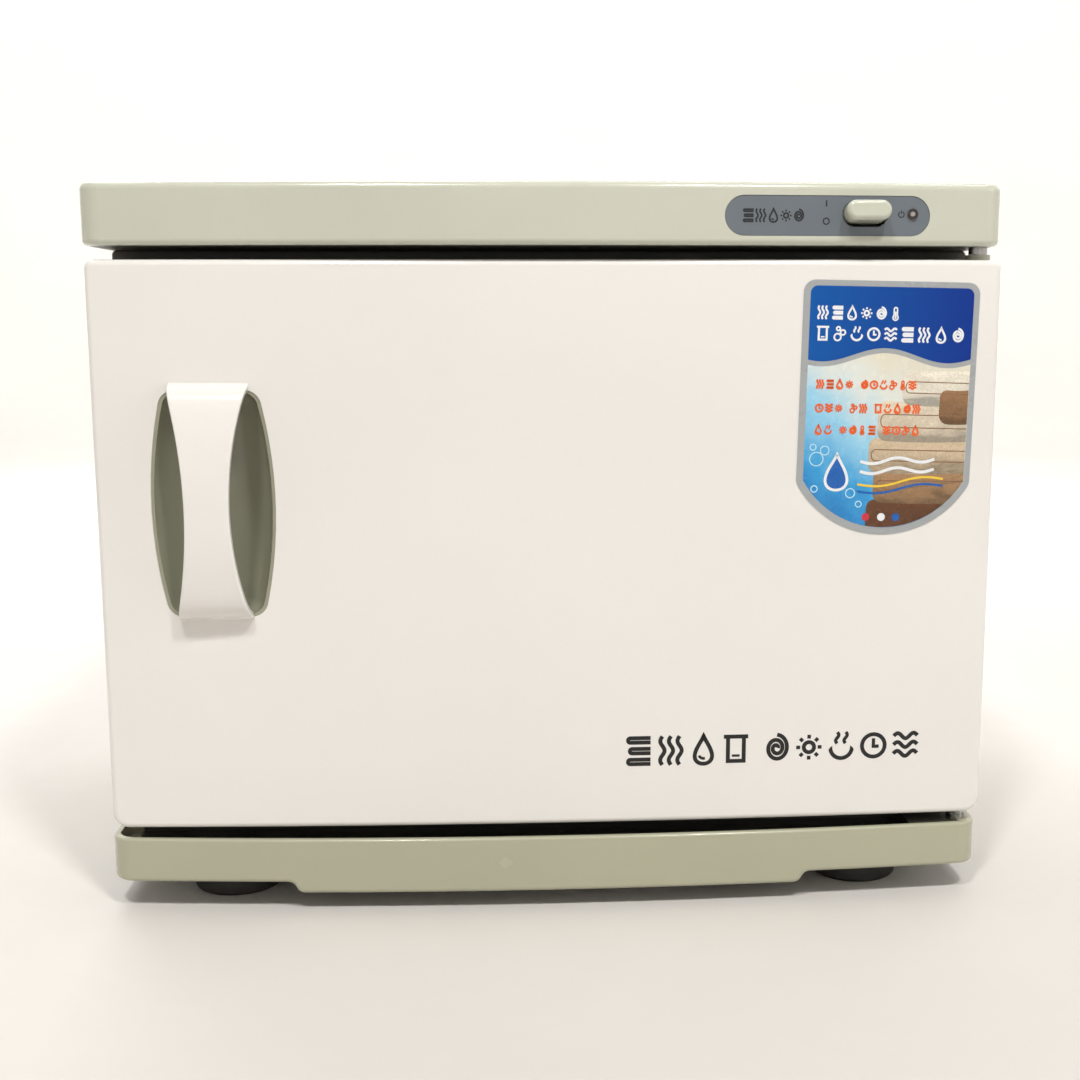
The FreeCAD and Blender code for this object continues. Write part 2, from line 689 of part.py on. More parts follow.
def rack_rails():
    """Four folded ledges, two levels, riveted to the chamber's sides."""
    web_height, ledge_width, stop_height = 8.0, 10.0, 7.0
    rails = []
    for side in (-1, 1):
        for level in RAIL_LEVELS:
            wall = side * CHAMBER_HALF
            web_low, web_high = sorted((wall, wall - side * SHEET))
            low, high = sorted((wall, wall - side * ledge_width))
            web = box(web_low, web_high, RAIL_FRONT, RAIL_REAR, level - web_height, level)
            ledge = box(low, high, RAIL_FRONT, RAIL_REAR, level - SHEET, level)
            stop = box(low, high, RAIL_REAR - SHEET, RAIL_REAR, level - SHEET, level + stop_height)
            rails.append(fuse([web, ledge, stop]).cut(rail_rivets()))
    return group(rails)


def rail_rivets():
    head_h, head_r, shank_r = 1.0, 2.6, 1.6
    rivets = []
    for side in (-1, 1):
        for level in RAIL_LEVELS:
            for y in (-60, 24, 108):
                axis = X * side
                inner = vec(side * (CHAMBER_HALF - SHEET), y, level - 5)
                head = rod(inner - axis * head_h, axis, head_h, head_r)
                shank = rod(inner, axis, 2 * SHEET + 1, shank_r)
                rivets.append(fuse([head, shank]))
    return group(rivets)


def wire_rack(level):
    """Welded wire shelf: a round-cornered rim, two cross bars and lengthwise wires."""
    rim_r, bar_r, wire_r = 2.0, 1.8, 1.3
    half, front, rear, corner = CHAMBER_HALF - 6, -74.0, 122.0, 10.0
    z = level + rim_r
    middle = vec(0, front, z)
    diagonal = corner * (1 - math.sqrt(0.5))
    edges = []
    last = middle
    for sign_x, y, sign_y, along_first in ((1, front, -1, True), (1, rear, 1, False),
                                           (-1, rear, 1, True), (-1, front, -1, False)):
        beside = vec(sign_x * (half - corner), y, z)
        above = vec(sign_x * half, y - sign_y * corner, z)
        on_arc = vec(sign_x * (half - diagonal), y - sign_y * diagonal, z)
        start, end = (beside, above) if along_first else (above, beside)
        edges.append(Part.makeLine(last, start))
        edges.append(Part.Arc(start, on_arc, end).toShape())
        last = end
    edges.append(Part.makeLine(last, middle))
    section = Part.Wire(Part.makeCircle(rim_r, middle, X))
    rim = Part.Wire(edges).makePipeShell([section], True, True)
    count, spread = 15, 308.0
    wire_z = z + rim_r + wire_r - 0.7
    length = rear - front + 2
    xs = [spread * (index / (count - 1) - 0.5) for index in range(count)]
    wires = [rod(vec(x, front - 1, wire_z), Y, length, wire_r) for x in xs]
    bars = [rod(vec(-half, y, z), X, 2 * half, bar_r) for y in (front + 62, rear - 62)]
    return fuse([rim] + wires + bars)


def drip_tray():
    """Shallow pan with a turned-out lip, on the chamber's floor."""
    half, front, rear, height, lip = 158.0, -76.0, 112.0, 9.0, 4.0
    floor, rim = CHAMBER_FLOOR, CHAMBER_FLOOR + height
    pan = rounded_block(-half, half, front, rear, floor, rim, Z, 8)
    pan = round_where(pan, 1.5, lambda edge: mid_point(edge).z < floor + TOUCH)
    hollow = rounded_block(1 - half, half - 1, front + 1, rear - 1, floor + 1, rim + 1, Z, 7)
    rim_plate = rounded_block(-half - lip, half + lip, front - lip, rear + lip, rim - 1, rim, Z, 10)
    return fuse([pan, rim_plate]).cut(hollow)


def catch_magnet():
    """Magnet in a moulded case, let into the frame beside the mouth."""
    half_x, half_z = 6.0, 21.0
    case = box(CATCH_X - half_x, CATCH_X + half_x, CATCH_FACE, FRAME_BACK - 1,
               CATCH_Z - half_z, CATCH_Z + half_z)
    return round_where(case, 0.8, lambda edge: mid_point(edge).y < CATCH_FACE + TOUCH)


# ---------------------------------------------------------------- door

def barrel(grow):
    """Bulged solid of revolution, upright behind the handle, grown outwards on every side."""
    radius, end_radius, corner = RECESS_R + grow, RECESS_END_R + grow, RECESS_CORNER + grow
    low, high = RECESS_BOTTOM - grow, RECESS_TOP + grow
    foot_point, head_point = vec(0, 0, low), vec(0, 0, high)
    bottom, top = vec(end_radius, 0, low), vec(end_radius, 0, high)
    edges = [Part.makeLine(foot_point, bottom)]
    edges.append(Part.Arc(bottom, vec(radius, 0, (low + high) / 2), top).toShape())
    edges.append(Part.makeLine(top, head_point))
    edges.append(Part.makeLine(head_point, foot_point))
    solid = Part.Face(Part.Wire(edges)).revolve(vec(0, 0, 0), Z, 360)
    solid = round_where(solid, corner, lambda edge: edge.Closed and isinstance(edge.Curve, Part.Circle)
                        and abs(edge.Curve.Radius - end_radius) < TOUCH)
    axis_y = bow_at(HANDLE_X, DOOR_FRONT, DOOR_BOW) - RECESS_AXIS_STAND_OFF
    solid.translate(vec(HANDLE_X, axis_y, 0))
    return solid


def door_block():
    """Outer envelope of the door moulding."""
    block = door_prism(0, DOOR_BACK)
    lower_corner, upper_corner = 8.0, 4.0
    block = round_where(block, lower_corner, lambda edge: runs_along(edge, Y) and mid_point(edge).z < 100)
    block = round_where(block, upper_corner,
                        lambda edge: runs_along(edge, Y) and mid_point(edge).z > DOOR_TOP - TOUCH)

    def on_front(edge):
        middle = mid_point(edge)
        return middle.y < bow_at(middle.x, DOOR_FRONT, DOOR_BOW) + 0.5 and not runs_along(edge, Y)

    return round_where(block, DOOR_EDGE_RADIUS, on_front)


def peg_places():
    return [(HANDLE_X + dx, z) for dx in (-12, 12) for z in (STRAP_TOP - 2.2, STRAP_BOTTOM + 2.2)]


def handle_pegs():
    """Pegs on the strap's ends; they pass through the door wall and are staked over inside."""
    return group([rod(vec(x, -149.5, z), Y, 5, PEG_R) for x, z in peg_places()])


def door_outer_shell():
    """Deep front moulding with hinge bosses, screw bosses and the opening for the recess."""
    inner = door_prism(DOOR_WALL, DOOR_BACK + 10, DOOR_BOTTOM + DOOR_WALL, DOOR_TOP - DOOR_WALL)
    shell = door_block().cut(inner)
    boss_height = BUSH_LENGTH + 2
    bosses = [rod(vec(HINGE_X, HINGE_Y, z), Z, boss_height, BOSS_R)
              for z in (DOOR_BOTTOM, DOOR_TOP - boss_height)]
    for x, z in DOOR_BOSSES:
        start = bow_at(x, DOOR_FRONT + DOOR_WALL, DOOR_BOW) - 0.5
        bosses.append(rod(vec(x, start, z), Y, DOOR_BACK - DOOR_WALL - start, 4.0))
    shell = fuse([shell] + bosses).common(door_block())
    bush_holes = [rod(vec(HINGE_X, HINGE_Y, z), Z, BUSH_LENGTH + 1, BUSH_R)
                  for z in (DOOR_BOTTOM - 1, DOOR_TOP - BUSH_LENGTH)]
    return cut_all(shell, [barrel(RECESS_WALL)] + bush_holes + [handle_pegs(), door_panel_screws()])


def door_inner_panel():
    """Inner door skin with a shallow tray-shaped plateau that enters the chamber's mouth."""
    inset = DOOR_WALL + 0.1
    back = DOOR_BACK - DOOR_WALL
    plate = box(DOOR_LEFT + inset, DOOR_RIGHT - inset, back, DOOR_BACK,
                DOOR_BOTTOM + inset, DOOR_TOP - inset)
    half, low, high = CHAMBER_HALF - 9, CHAMBER_FLOOR + 8, CHAMBER_ROOF - 8
    plateau = rounded_block(-half, half, DOOR_BACK - 1, PLATEAU_FACE, low, high, Y, 10)
    plateau = round_where(plateau, 3.0, lambda edge: mid_point(edge).y > PLATEAU_FACE - TOUCH)
    skin = 2.5
    hollow = rounded_block(skin - half, half - skin, back - 1, PLATEAU_FACE - skin,
                           low + skin, high - skin, Y, 8)
    panel = fuse([plate.common(door_block()), plateau]).cut(hollow)
    return panel.cut(door_panel_screws()).cut(catch_plate_screws())


def door_insulation():
    """Foam slab in the door, cut round the handle recess and the staked pegs."""
    margin = 12.0
    foam = door_prism(DOOR_WALL + 1, DOOR_BACK, DOOR_BOTTOM + margin, DOOR_TOP - margin)
    foam = foam.common(box(-199, 199, -128, -110, 40, 330))
    stakes = group([rod(vec(x, -152, z), Y, 10, 3.0) for x, z in peg_places()])
    return foam.cut(barrel(RECESS_WALL + 1)).cut(stakes)


def handle_recess_cup():
    """Thin barrel-shaped bowl whose rim follows the door's bowed face."""
    cup = barrel(RECESS_WALL).cut(barrel(0))
    return cup.common(door_prism(0, REAR, front_inset=0.5)).cut(handle_pegs())


def strap_profile(shift):
    """Side view of the arch, moved in by shift, with its two end points."""
    face = bow_at(HANDLE_X, DOOR_FRONT, DOOR_BOW)
    knee_out, knee_in, run_in, shoulder = 8.5, 6.0, 17.0, 4.6
    knee_y = face - knee_out + shift * 0.75
    knee_rise = knee_in + shift * 0.65
    start = vec(0, face + 3, STRAP_BOTTOM + shift)
    end = vec(0, face + 3, STRAP_TOP - shift)
    curve = Part.BSplineCurve()
    curve.interpolate([start,
                       vec(0, knee_y, STRAP_BOTTOM + knee_rise),
                       vec(0, HANDLE_APEX + shoulder + shift, STRAP_BOTTOM + run_in),
                       vec(0, HANDLE_APEX + shift, (STRAP_BOTTOM + STRAP_TOP) / 2),
                       vec(0, HANDLE_APEX + shoulder + shift, STRAP_TOP - run_in),
                       vec(0, knee_y, STRAP_TOP - knee_rise),
                       end])
    return curve.toShape(), start, end


def handle_strap():
    """Arched strap with an hourglass outline, standing off the door at its middle."""
    outside, out_start, out_end = strap_profile(0.0)
    inside, in_start, in_end = strap_profile(STRAP_THICKNESS)
    edges = [outside, Part.makeLine(out_end, in_end), inside, Part.makeLine(in_start, out_start)]
    half_band = 30.0
    band = Part.Face(Part.Wire(Part.__sortEdges__(edges))).extrude(X * (2 * half_band))
    band.translate(vec(HANDLE_X - half_band, 0, 0))
    waist_z = (STRAP_BOTTOM + STRAP_TOP) / 2 + 2
    above, below = STRAP_TOP + 2, STRAP_BOTTOM - 2

    def side(sign):
        top = vec(HANDLE_X + sign * STRAP_HALF_TOP, IN_FRONT, above)
        waist = vec(HANDLE_X + sign * STRAP_HALF_MIDDLE, IN_FRONT, waist_z)
        bottom = vec(HANDLE_X + sign * STRAP_HALF_BOTTOM, IN_FRONT, below)
        return top, bottom, Part.Arc(top, waist, bottom).toShape()

    left_top, left_bottom, left = side(-1)
    right_top, right_bottom, right = side(1)
    outline = [left, Part.makeLine(left_bottom, right_bottom), right, Part.makeLine(right_top, left_top)]
    strap = band.common(plate_from(outline, 100))

    def outer_edge(edge):
        middle = mid_point(edge)
        along_side = abs(middle.x - HANDLE_X) > 5 and edge.Length > 50
        return along_side and middle.y < HANDLE_APEX + STRAP_THICKNESS / 2

    strap = round_where(strap, STRAP_EDGE_RADIUS, outer_edge)
    return fuse([strap.cut(door_prism(0, REAR))] + handle_pegs().Solids)


def door_gasket():
    """Soft ring on the door's back that closes on the front frame."""
    half, low, high, width = 190.0, 48.0, 322.0, 7.5
    outer = rounded_block(-half, half, DOOR_BACK, GASKET_FACE, low, high, Y, 12)
    inner = rounded_block(width - half, half - width, DOOR_BACK - 1, BODY_FRONT,
                          low + width, high - width, Y, 7)
    return round_where(outer.cut(inner), 1.4, lambda edge: mid_point(edge).y > GASKET_FACE - TOUCH)


def catch_plate():
    """Steel strike that meets the magnet."""
    half_x, half_z = 7.0, 23.0
    plate = box(CATCH_X - half_x, CATCH_X + half_x, DOOR_BACK, CATCH_FACE - RUNNING_GAP,
                CATCH_Z - half_z, CATCH_Z + half_z)
    return plate.cut(catch_plate_screws())


def door_sticker():
    """Thin label on the door's face: round top corners, bowed lower edge, stuck on slightly askew."""
    left, right = STICKER_X - STICKER_HALF, STICKER_X + STICKER_HALF
    low = STICKER_TOP - STICKER_SIDE
    left_top, right_top = vec(left, IN_FRONT, STICKER_TOP), vec(right, IN_FRONT, STICKER_TOP)
    left_low, right_low = vec(left, IN_FRONT, low), vec(right, IN_FRONT, low)
    tip = vec(STICKER_X, IN_FRONT, STICKER_TOP - STICKER_LENGTH)
    edges = [Part.makeLine(left_top, left_low), Part.Arc(left_low, tip, right_low).toShape()]
    edges.append(Part.makeLine(right_low, right_top))
    edges.append(Part.makeLine(right_top, left_top))
    slab = round_where(plate_from(edges, 80), 6.0, lambda edge: runs_along(edge, Y))
    slab.rotate(vec(STICKER_X, 0, STICKER_TOP - STICKER_LENGTH / 2), Y, STICKER_TILT)
    skin = door_prism(0, REAR, front_inset=-STICKER_THICKNESS).cut(door_prism(0, REAR))
    return slab.common(skin)


# ---------------------------------------------------------------- hinges

def hinge_rod(z0, z1, radius):
    return rod(vec(HINGE_X, HINGE_Y, z0), Z, z1 - z0, radius)


def hinge_pin(z0, z1):
    pin = hinge_rod(z0, z1, PIN_R)
    return pin.makeChamfer(0.4, [edge for edge in pin.Edges if edge.Closed])


def hinge_bracket(z0):
    """Steel plate under or over the moulding, with a hole for the riveted pin."""
    plate = rounded_block(193, 220.4, -138, BODY_FRONT + 8, z0, z0 + BRACKET, Z, 3)
    return plate.cut(hinge_rod(z0 - 1, z0 + BRACKET + 1, PIN_R)).cut(hinge_screws())


def hinge_washer(z0, z1):
    return hinge_rod(z0, z1, WASHER_R).cut(hinge_rod(z0, z1, PIN_R))


def hinge_bush(mouth, inner_end, collar_face):
    """Flanged bush: a sleeve in the door moulding and a collar in the gap."""
    sleeve = hinge_rod(*sorted((mouth, inner_end)), BUSH_R)
    collar = hinge_rod(*sorted((mouth, collar_face)), COLLAR_R)
    bore = hinge_rod(min(inner_end, collar_face) - 1, max(inner_end, collar_face) + 1, BUSH_BORE_R)
    return fuse([sleeve, collar]).cut(bore)


# ---------------------------------------------------------------- heating and electrics

def heater_plate():
    """Silicone heating mat pressed against the underside of the chamber."""
    high = CHAMBER_FLOOR - SHEET
    low = high - HEATER_THICKNESS
    plate = rounded_block(-140, 140, -60, 100, low, high, Z, 6)
    tabs = [box(140, 148, y - 3, y + 3, low + 1, low + 2) for y in (30, 50)]
    return fuse([plate] + tabs)


def heater_clamps():
    """Two cross bars under the mat; their turned-up ends meet the chamber."""
    high = CHAMBER_FLOOR - SHEET
    low = high - HEATER_THICKNESS - SHEET
    width, end, inside = 14, 152, 141
    clamps = []
    for y in (-40, 66):
        bar = box(-end, end, y, y + width, low, low + SHEET)
        ends = [box(-end, -inside, y, y + width, low, high), box(inside, end, y, y + width, low, high)]
        clamps.append(fuse([bar] + ends))
    return group(clamps)


def thermostat():
    """Bimetal disc thermostat on the chamber's right wall."""
    wall, y, z = CHAMBER_WALL, THERMOSTAT_Y, THERMOSTAT_Z
    cup = rod(vec(wall, y, z), X, 4, 8)
    body = rod(vec(wall + 4, y, z), X, 6, 7)
    flange = box(wall, wall + 0.8, y - 14, y + 14, z - 5, z + 5)
    tabs = [box(wall + 10, wall + 17, y + dy - 0.4, y + dy + 0.4, z - 3, z + 3) for dy in (-4, 4)]
    return fuse([cup, body, flange] + tabs)


def thermal_fuse():
    """Slim cut-out held to the chamber's wall by a strap."""
    wall, y = CHAMBER_WALL, THERMOSTAT_Y
    body = rod(vec(wall + 2.2, y, 112), Z, 16, 2.2)
    strap = box(wall, wall + 5.4, y - 3.4, y + 3.4, 117, 123)
    return fuse([body, strap])


def terminal_wells(depth, radius):
    return group([rod(vec(LOOM_X, y, TERMINAL_TOP - 5), Z, depth, radius) for y in TERMINAL_YS])


def terminal_block():
    base = box(LOOM_X - 8, LOOM_X + 8, 84, 120, BASE_TOP + SHEET, TERMINAL_TOP)
    return base.cut(terminal_wells(6, 2.4))


def terminal_screws():
    return terminal_wells(3, 2.3)


def inlet_block(half_x, half_z, y0, y1, corner):
    return rounded_block(INLET_X - half_x, INLET_X + half_x, y0, y1,
                         INLET_Z - half_z, INLET_Z + half_z, Y, corner)


def inlet_cutout():
    return inlet_block(10, 14, 100, 170, 2)


def fuse_cutout():
    return rod(vec(INLET_X, 100, FUSE_Z), Y, 70, 6)


def power_inlet():
    """Panel inlet: flange, moulded body and the well that a mains connector enters."""
    back = PANEL_BACK
    flange = inlet_block(12, 25, back, back + 2.5, 4)
    body = inlet_block(10, 14, back - 22, back + 0.5, 2)
    shroud = inlet_block(9.5, 13.5, back + 2, back + 5.8, 3)
    well = inlet_block(7.8, 11.8, back - 14, back + 8, 2.5)
    return cut_all(fuse([flange, body, shroud]), [well, inlet_pins(), inlet_screws()])


def inlet_pins():
    """Three blades; the earth blade stands off to one side."""
    blades = []
    for dx, dz in ((-2, -7), (2, 0), (-2, 7)):
        x, z = INLET_X + dx, INLET_Z + dz
        blades.append(box(x - 1, x + 1, PANEL_BACK - 28, PANEL_BACK - 4, z - 2, z + 2))
    return group(blades)


def fuse_holder():
    """Screw-cap fuse holder with a coin slot."""
    back = PANEL_BACK
    body = rod(vec(INLET_X, back - 28, FUSE_Z), Y, 28, 6)
    rim = rod(vec(INLET_X, back, FUSE_Z), Y, 2, 8.5)
    cap = rod(vec(INLET_X, back + 2, FUSE_Z), Y, 4.6, 6.2)
    coin_slot = box(INLET_X - 5, INLET_X + 5, back + 5, back + 10, FUSE_Z - 0.8, FUSE_Z + 0.8)
    return fuse([body, rim, cap]).cut(coin_slot)


def earth_stud():
    """Brass bolt with a hexagonal nut on the rear panel."""
    start = vec(EARTH_X, PANEL_BACK, EARTH_Z)
    bolt = rod(start - Y * 8, Y, 14, 2.0)
    nut_r, nut_h = 3.9, 3.0
    corners = [start + vec(math.cos(math.radians(a)), 0, math.sin(math.radians(a))) * nut_r
               for a in range(0, 361, 60)]
    nut = Part.Face(Part.makePolygon(corners)).extrude(Y * nut_h)
    return fuse([bolt, nut])


def wire_grommet():
    """Rubber ring where the switch wires pass through the roof."""
    lip_h, lip_r, sleeve_r, bore_r = 1.5, 6.8, 5.0, 3.0

    def ring(z0, z1, radius):
        return rod(vec(LOOM_X, LOOM_Y, z0), Z, z1 - z0, radius)

    sleeve = ring(ROOF_UNDERSIDE, TRAY_TOP, sleeve_r)
    low = ring(ROOF_UNDERSIDE - lip_h, ROOF_UNDERSIDE, lip_r)
    high = ring(TRAY_TOP, TRAY_TOP + lip_h, lip_r)
    return fuse([sleeve, low, high]).cut(ring(CAP_BOTTOM - 10, CAP_BOTTOM + 20, bore_r))


def switch_wires():
    """A pair from the terminal block up to the switch, and two short lamp leads."""
    wires = []
    for index, side in enumerate((-1.4, 1.4)):
        x, top = LOOM_X + side, 345.0 + side
        start_y, turn_z = TERMINAL_YS[index], 72 + 4 * index
        tab_x = ROCKER_X + (8 if index else -8)
        points = [vec(x, start_y, TERMINAL_TOP), vec(x, start_y, turn_z), vec(x, LOOM_Y, turn_z),
                  vec(x, LOOM_Y, top), vec(tab_x, LOOM_Y, top), vec(tab_x, -60, top),
                  vec(tab_x, -88, ROCKER_Z), vec(tab_x, -121, ROCKER_Z)]
        wires.append(wire_run(points, 6.0, 1.2))
    start_y = lamp_face() + 16
    leads = ((-1, -112, ROCKER_X + 12, -128, 3.0), (1, -116, ROCKER_X, -121, 2.0))
    for lift, turn_y, end_x, end_y, bend in leads:
        z = LAMP_Z + lift
        points = [vec(LAMP_X, start_y, z), vec(LAMP_X, turn_y, z),
                  vec(end_x, turn_y, z), vec(end_x, end_y, z)]
        wires.append(wire_run(points, bend, 0.6))
    return wires


def supply_wires():
    """Inlet to fuse holder, and inlet to terminal block."""
    blade_end = PANEL_BACK - 28
    blade_x, rise, block_y = INLET_X - 2, 7, TERMINAL_YS[2]
    line = wire_run([vec(blade_x, blade_end, INLET_Z + rise), vec(blade_x, block_y + 2, INLET_Z + rise),
                     vec(INLET_X, block_y + 2, FUSE_Z), vec(INLET_X, blade_end, FUSE_Z)], 5.0, 1.2)
    neutral = wire_run([vec(blade_x, blade_end, INLET_Z - rise), vec(blade_x, block_y, INLET_Z - rise),
                        vec(LOOM_X, block_y, INLET_Z - rise), vec(LOOM_X, block_y, TERMINAL_TOP)], 4.0, 1.2)
    return [line, neutral]


def heater_wire():
    """Thermostat to heater, down the right side and under the chamber."""
    out_x, back_y, front_y = CHAMBER_WALL + 13, THERMOSTAT_Y - 4, 70
    turn_z, low_z, tab_z = 130, 52.5, CHAMBER_FLOOR - SHEET - 2.5
    points = [vec(out_x, back_y, THERMOSTAT_Z - 3), vec(out_x, back_y, turn_z), vec(out_x, front_y, turn_z),
              vec(out_x, front_y, low_z), vec(CHAMBER_WALL - 14, front_y, low_z),
              vec(160, 50, tab_z), vec(148, 50, tab_z)]
    return wire_run(points, 3.0, 1.0)


# ---------------------------------------------------------------- the assembly

def parts():
    upper_gap_face = DOOR_TOP + UPPER_COLLAR
    lower_gap_face = DOOR_BOTTOM - LOWER_COLLAR
    return {
        "top_cover": top_cover(),
        "cap_tray": cap_tray(),
        "cap_screws": cap_screws(),
        "control_label": control_label(),
        "switch_body": switch_body(),
        "switch_pivot": switch_pivot(),
        "switch_rocker": switch_rocker(),
        "indicator_bezel": indicator_bezel(),
        "indicator_lens": indicator_lens(),
        "indicator_lamp": indicator_lamp(),
        "base_moulding": base_moulding(),
        "bottom_plate": bottom_plate(),
        "bottom_plate_screws": bottom_plate_screws(),
        "body_screws": body_screws(),
        "foot_screws": foot_screws(),
        "feet": group([foot(x, y) for x, y in foot_places()]),
        "outer_shell": outer_shell(),
        "rear_panel": rear_panel(),
        "rear_screws": rear_screws(),
        "front_frame": front_frame(),
        "inner_chamber": inner_chamber(),
        "insulation_blankets": insulation_blankets(),
        "rack_rails": rack_rails(),
        "rail_rivets": rail_rivets(),
        "lower_rack": wire_rack(RAIL_LEVELS[0]),
        "upper_rack": wire_rack(RAIL_LEVELS[1]),
        "drip_tray": drip_tray(),
        "catch_magnet": catch_magnet(),
        "door_outer_shell": door_outer_shell(),
        "door_inner_panel": door_inner_panel(),
        "door_insulation": door_insulation(),
        "door_panel_screws": door_panel_screws(),
        "handle_recess_cup": handle_recess_cup(),
        "handle_strap": handle_strap(),
        "door_gasket": door_gasket(),
        "catch_plate": catch_plate(),
        "catch_plate_screws": catch_plate_screws(),
        "door_sticker": door_sticker(),
        "upper_hinge_bracket": hinge_bracket(TRAY_TOP),
        "lower_hinge_bracket": hinge_bracket(DECK_UNDERSIDE - BRACKET),
        "upper_hinge_pin": hinge_pin(DOOR_TOP - 15, TRAY_TOP + BRACKET + 1),
        "lower_hinge_pin": hinge_pin(DECK_UNDERSIDE - BRACKET - 1, DOOR_BOTTOM + 15),
        "upper_hinge_washer": hinge_washer(upper_gap_face + RUNNING_GAP, CAP_BOTTOM),
        "lower_hinge_washer": hinge_washer(BASE_TOP, lower_gap_face - RUNNING_GAP),
        "upper_hinge_bush": hinge_bush(DOOR_TOP, DOOR_TOP - BUSH_LENGTH, upper_gap_face),
        "lower_hinge_bush": hinge_bush(DOOR_BOTTOM, DOOR_BOTTOM + BUSH_LENGTH, lower_gap_face),
        "hinge_screws": hinge_screws(),
        "heater_plate": heater_plate(),
        "heater_clamps": heater_clamps(),
        "thermostat": thermostat(),
        "thermal_fuse": thermal_fuse(),
        "terminal_block": terminal_block(),
        "terminal_screws": terminal_screws(),
        "power_inlet": power_inlet(),
        "inlet_pins": inlet_pins(),
        "inlet_screws": inlet_screws(),
        "fuse_holder": fuse_holder(),
        "earth_stud": earth_stud(),
        "wire_grommet": wire_grommet(),
        "wiring": group(switch_wires() + supply_wires() + [heater_wire()]),
    }


os.makedirs("parts", exist_ok=True)
for node, shape in parts().items():
    shape.exportStep(f"parts/{node}.step")
    print(node, len(shape.Solids), round(shape.Volume, 1), shape.isValid())
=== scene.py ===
import math

import bmesh
import bpy
from mathutils import Matrix, Vector
from mathutils.bvhtree import BVHTree
from mathutils.geometry import tessellate_polygon


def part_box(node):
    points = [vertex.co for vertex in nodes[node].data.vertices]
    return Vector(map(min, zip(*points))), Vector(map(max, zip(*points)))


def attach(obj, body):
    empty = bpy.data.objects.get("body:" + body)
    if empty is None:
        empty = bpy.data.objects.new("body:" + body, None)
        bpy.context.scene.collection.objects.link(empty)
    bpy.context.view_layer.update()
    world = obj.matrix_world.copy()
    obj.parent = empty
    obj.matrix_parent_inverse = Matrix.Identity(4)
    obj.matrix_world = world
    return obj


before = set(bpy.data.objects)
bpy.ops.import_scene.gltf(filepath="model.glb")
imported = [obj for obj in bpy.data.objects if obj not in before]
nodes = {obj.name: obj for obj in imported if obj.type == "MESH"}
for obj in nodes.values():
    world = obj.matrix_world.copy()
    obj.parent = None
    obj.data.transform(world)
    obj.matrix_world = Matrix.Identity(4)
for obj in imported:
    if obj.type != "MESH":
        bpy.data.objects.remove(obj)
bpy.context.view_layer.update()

# Millimetres to metres, for sizes that are easier to read in millimetres.
MM = 0.001

# ---------------------------------------------------------------- places taken from the frame

def box_mm(node):
    """A node's box as two corners in millimetres."""
    low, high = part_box(node)
    return Vector(low) / MM, Vector(high) / MM


door_low, door_high = box_mm("door_outer_shell")
sticker_low, sticker_high = box_mm("door_sticker")
label_low, label_high = box_mm("control_label")
rocker_low, rocker_high = box_mm("switch_rocker")
lens_low, lens_high = box_mm("indicator_lens")


# ---------------------------------------------------------------- camera

def add_camera():
    """Low, slightly left of the middle, looking a little down and to the right."""
    place = Vector((-21.4, -839.9, 297.95)) * MM
    yaw, pitch, roll = 0.05057, 0.15447, -0.0017
    forward = Vector((math.sin(yaw) * math.cos(pitch), math.cos(yaw) * math.cos(pitch),
                      -math.sin(pitch)))
    level = Vector((math.cos(yaw), -math.sin(yaw), 0.0))
    up = level.cross(forward)
    right = level * math.cos(roll) + up * math.sin(roll)
    above = up * math.cos(roll) - level * math.sin(roll)
    camera = bpy.data.objects.new("camera", bpy.data.cameras.new("camera"))
    turn = Matrix((right, above, -forward)).transposed().to_4x4()
    camera.matrix_world = Matrix.Translation(place) @ turn
    camera.data.sensor_width = 36.0
    camera.data.lens = 46.67
    camera.data.shift_x = -0.0339
    camera.data.clip_start = 0.01
    camera.data.clip_end = 50.0
    bpy.context.scene.collection.objects.link(camera)
    bpy.context.scene.camera = camera


add_camera()


# ---------------------------------------------------------------- node graphs

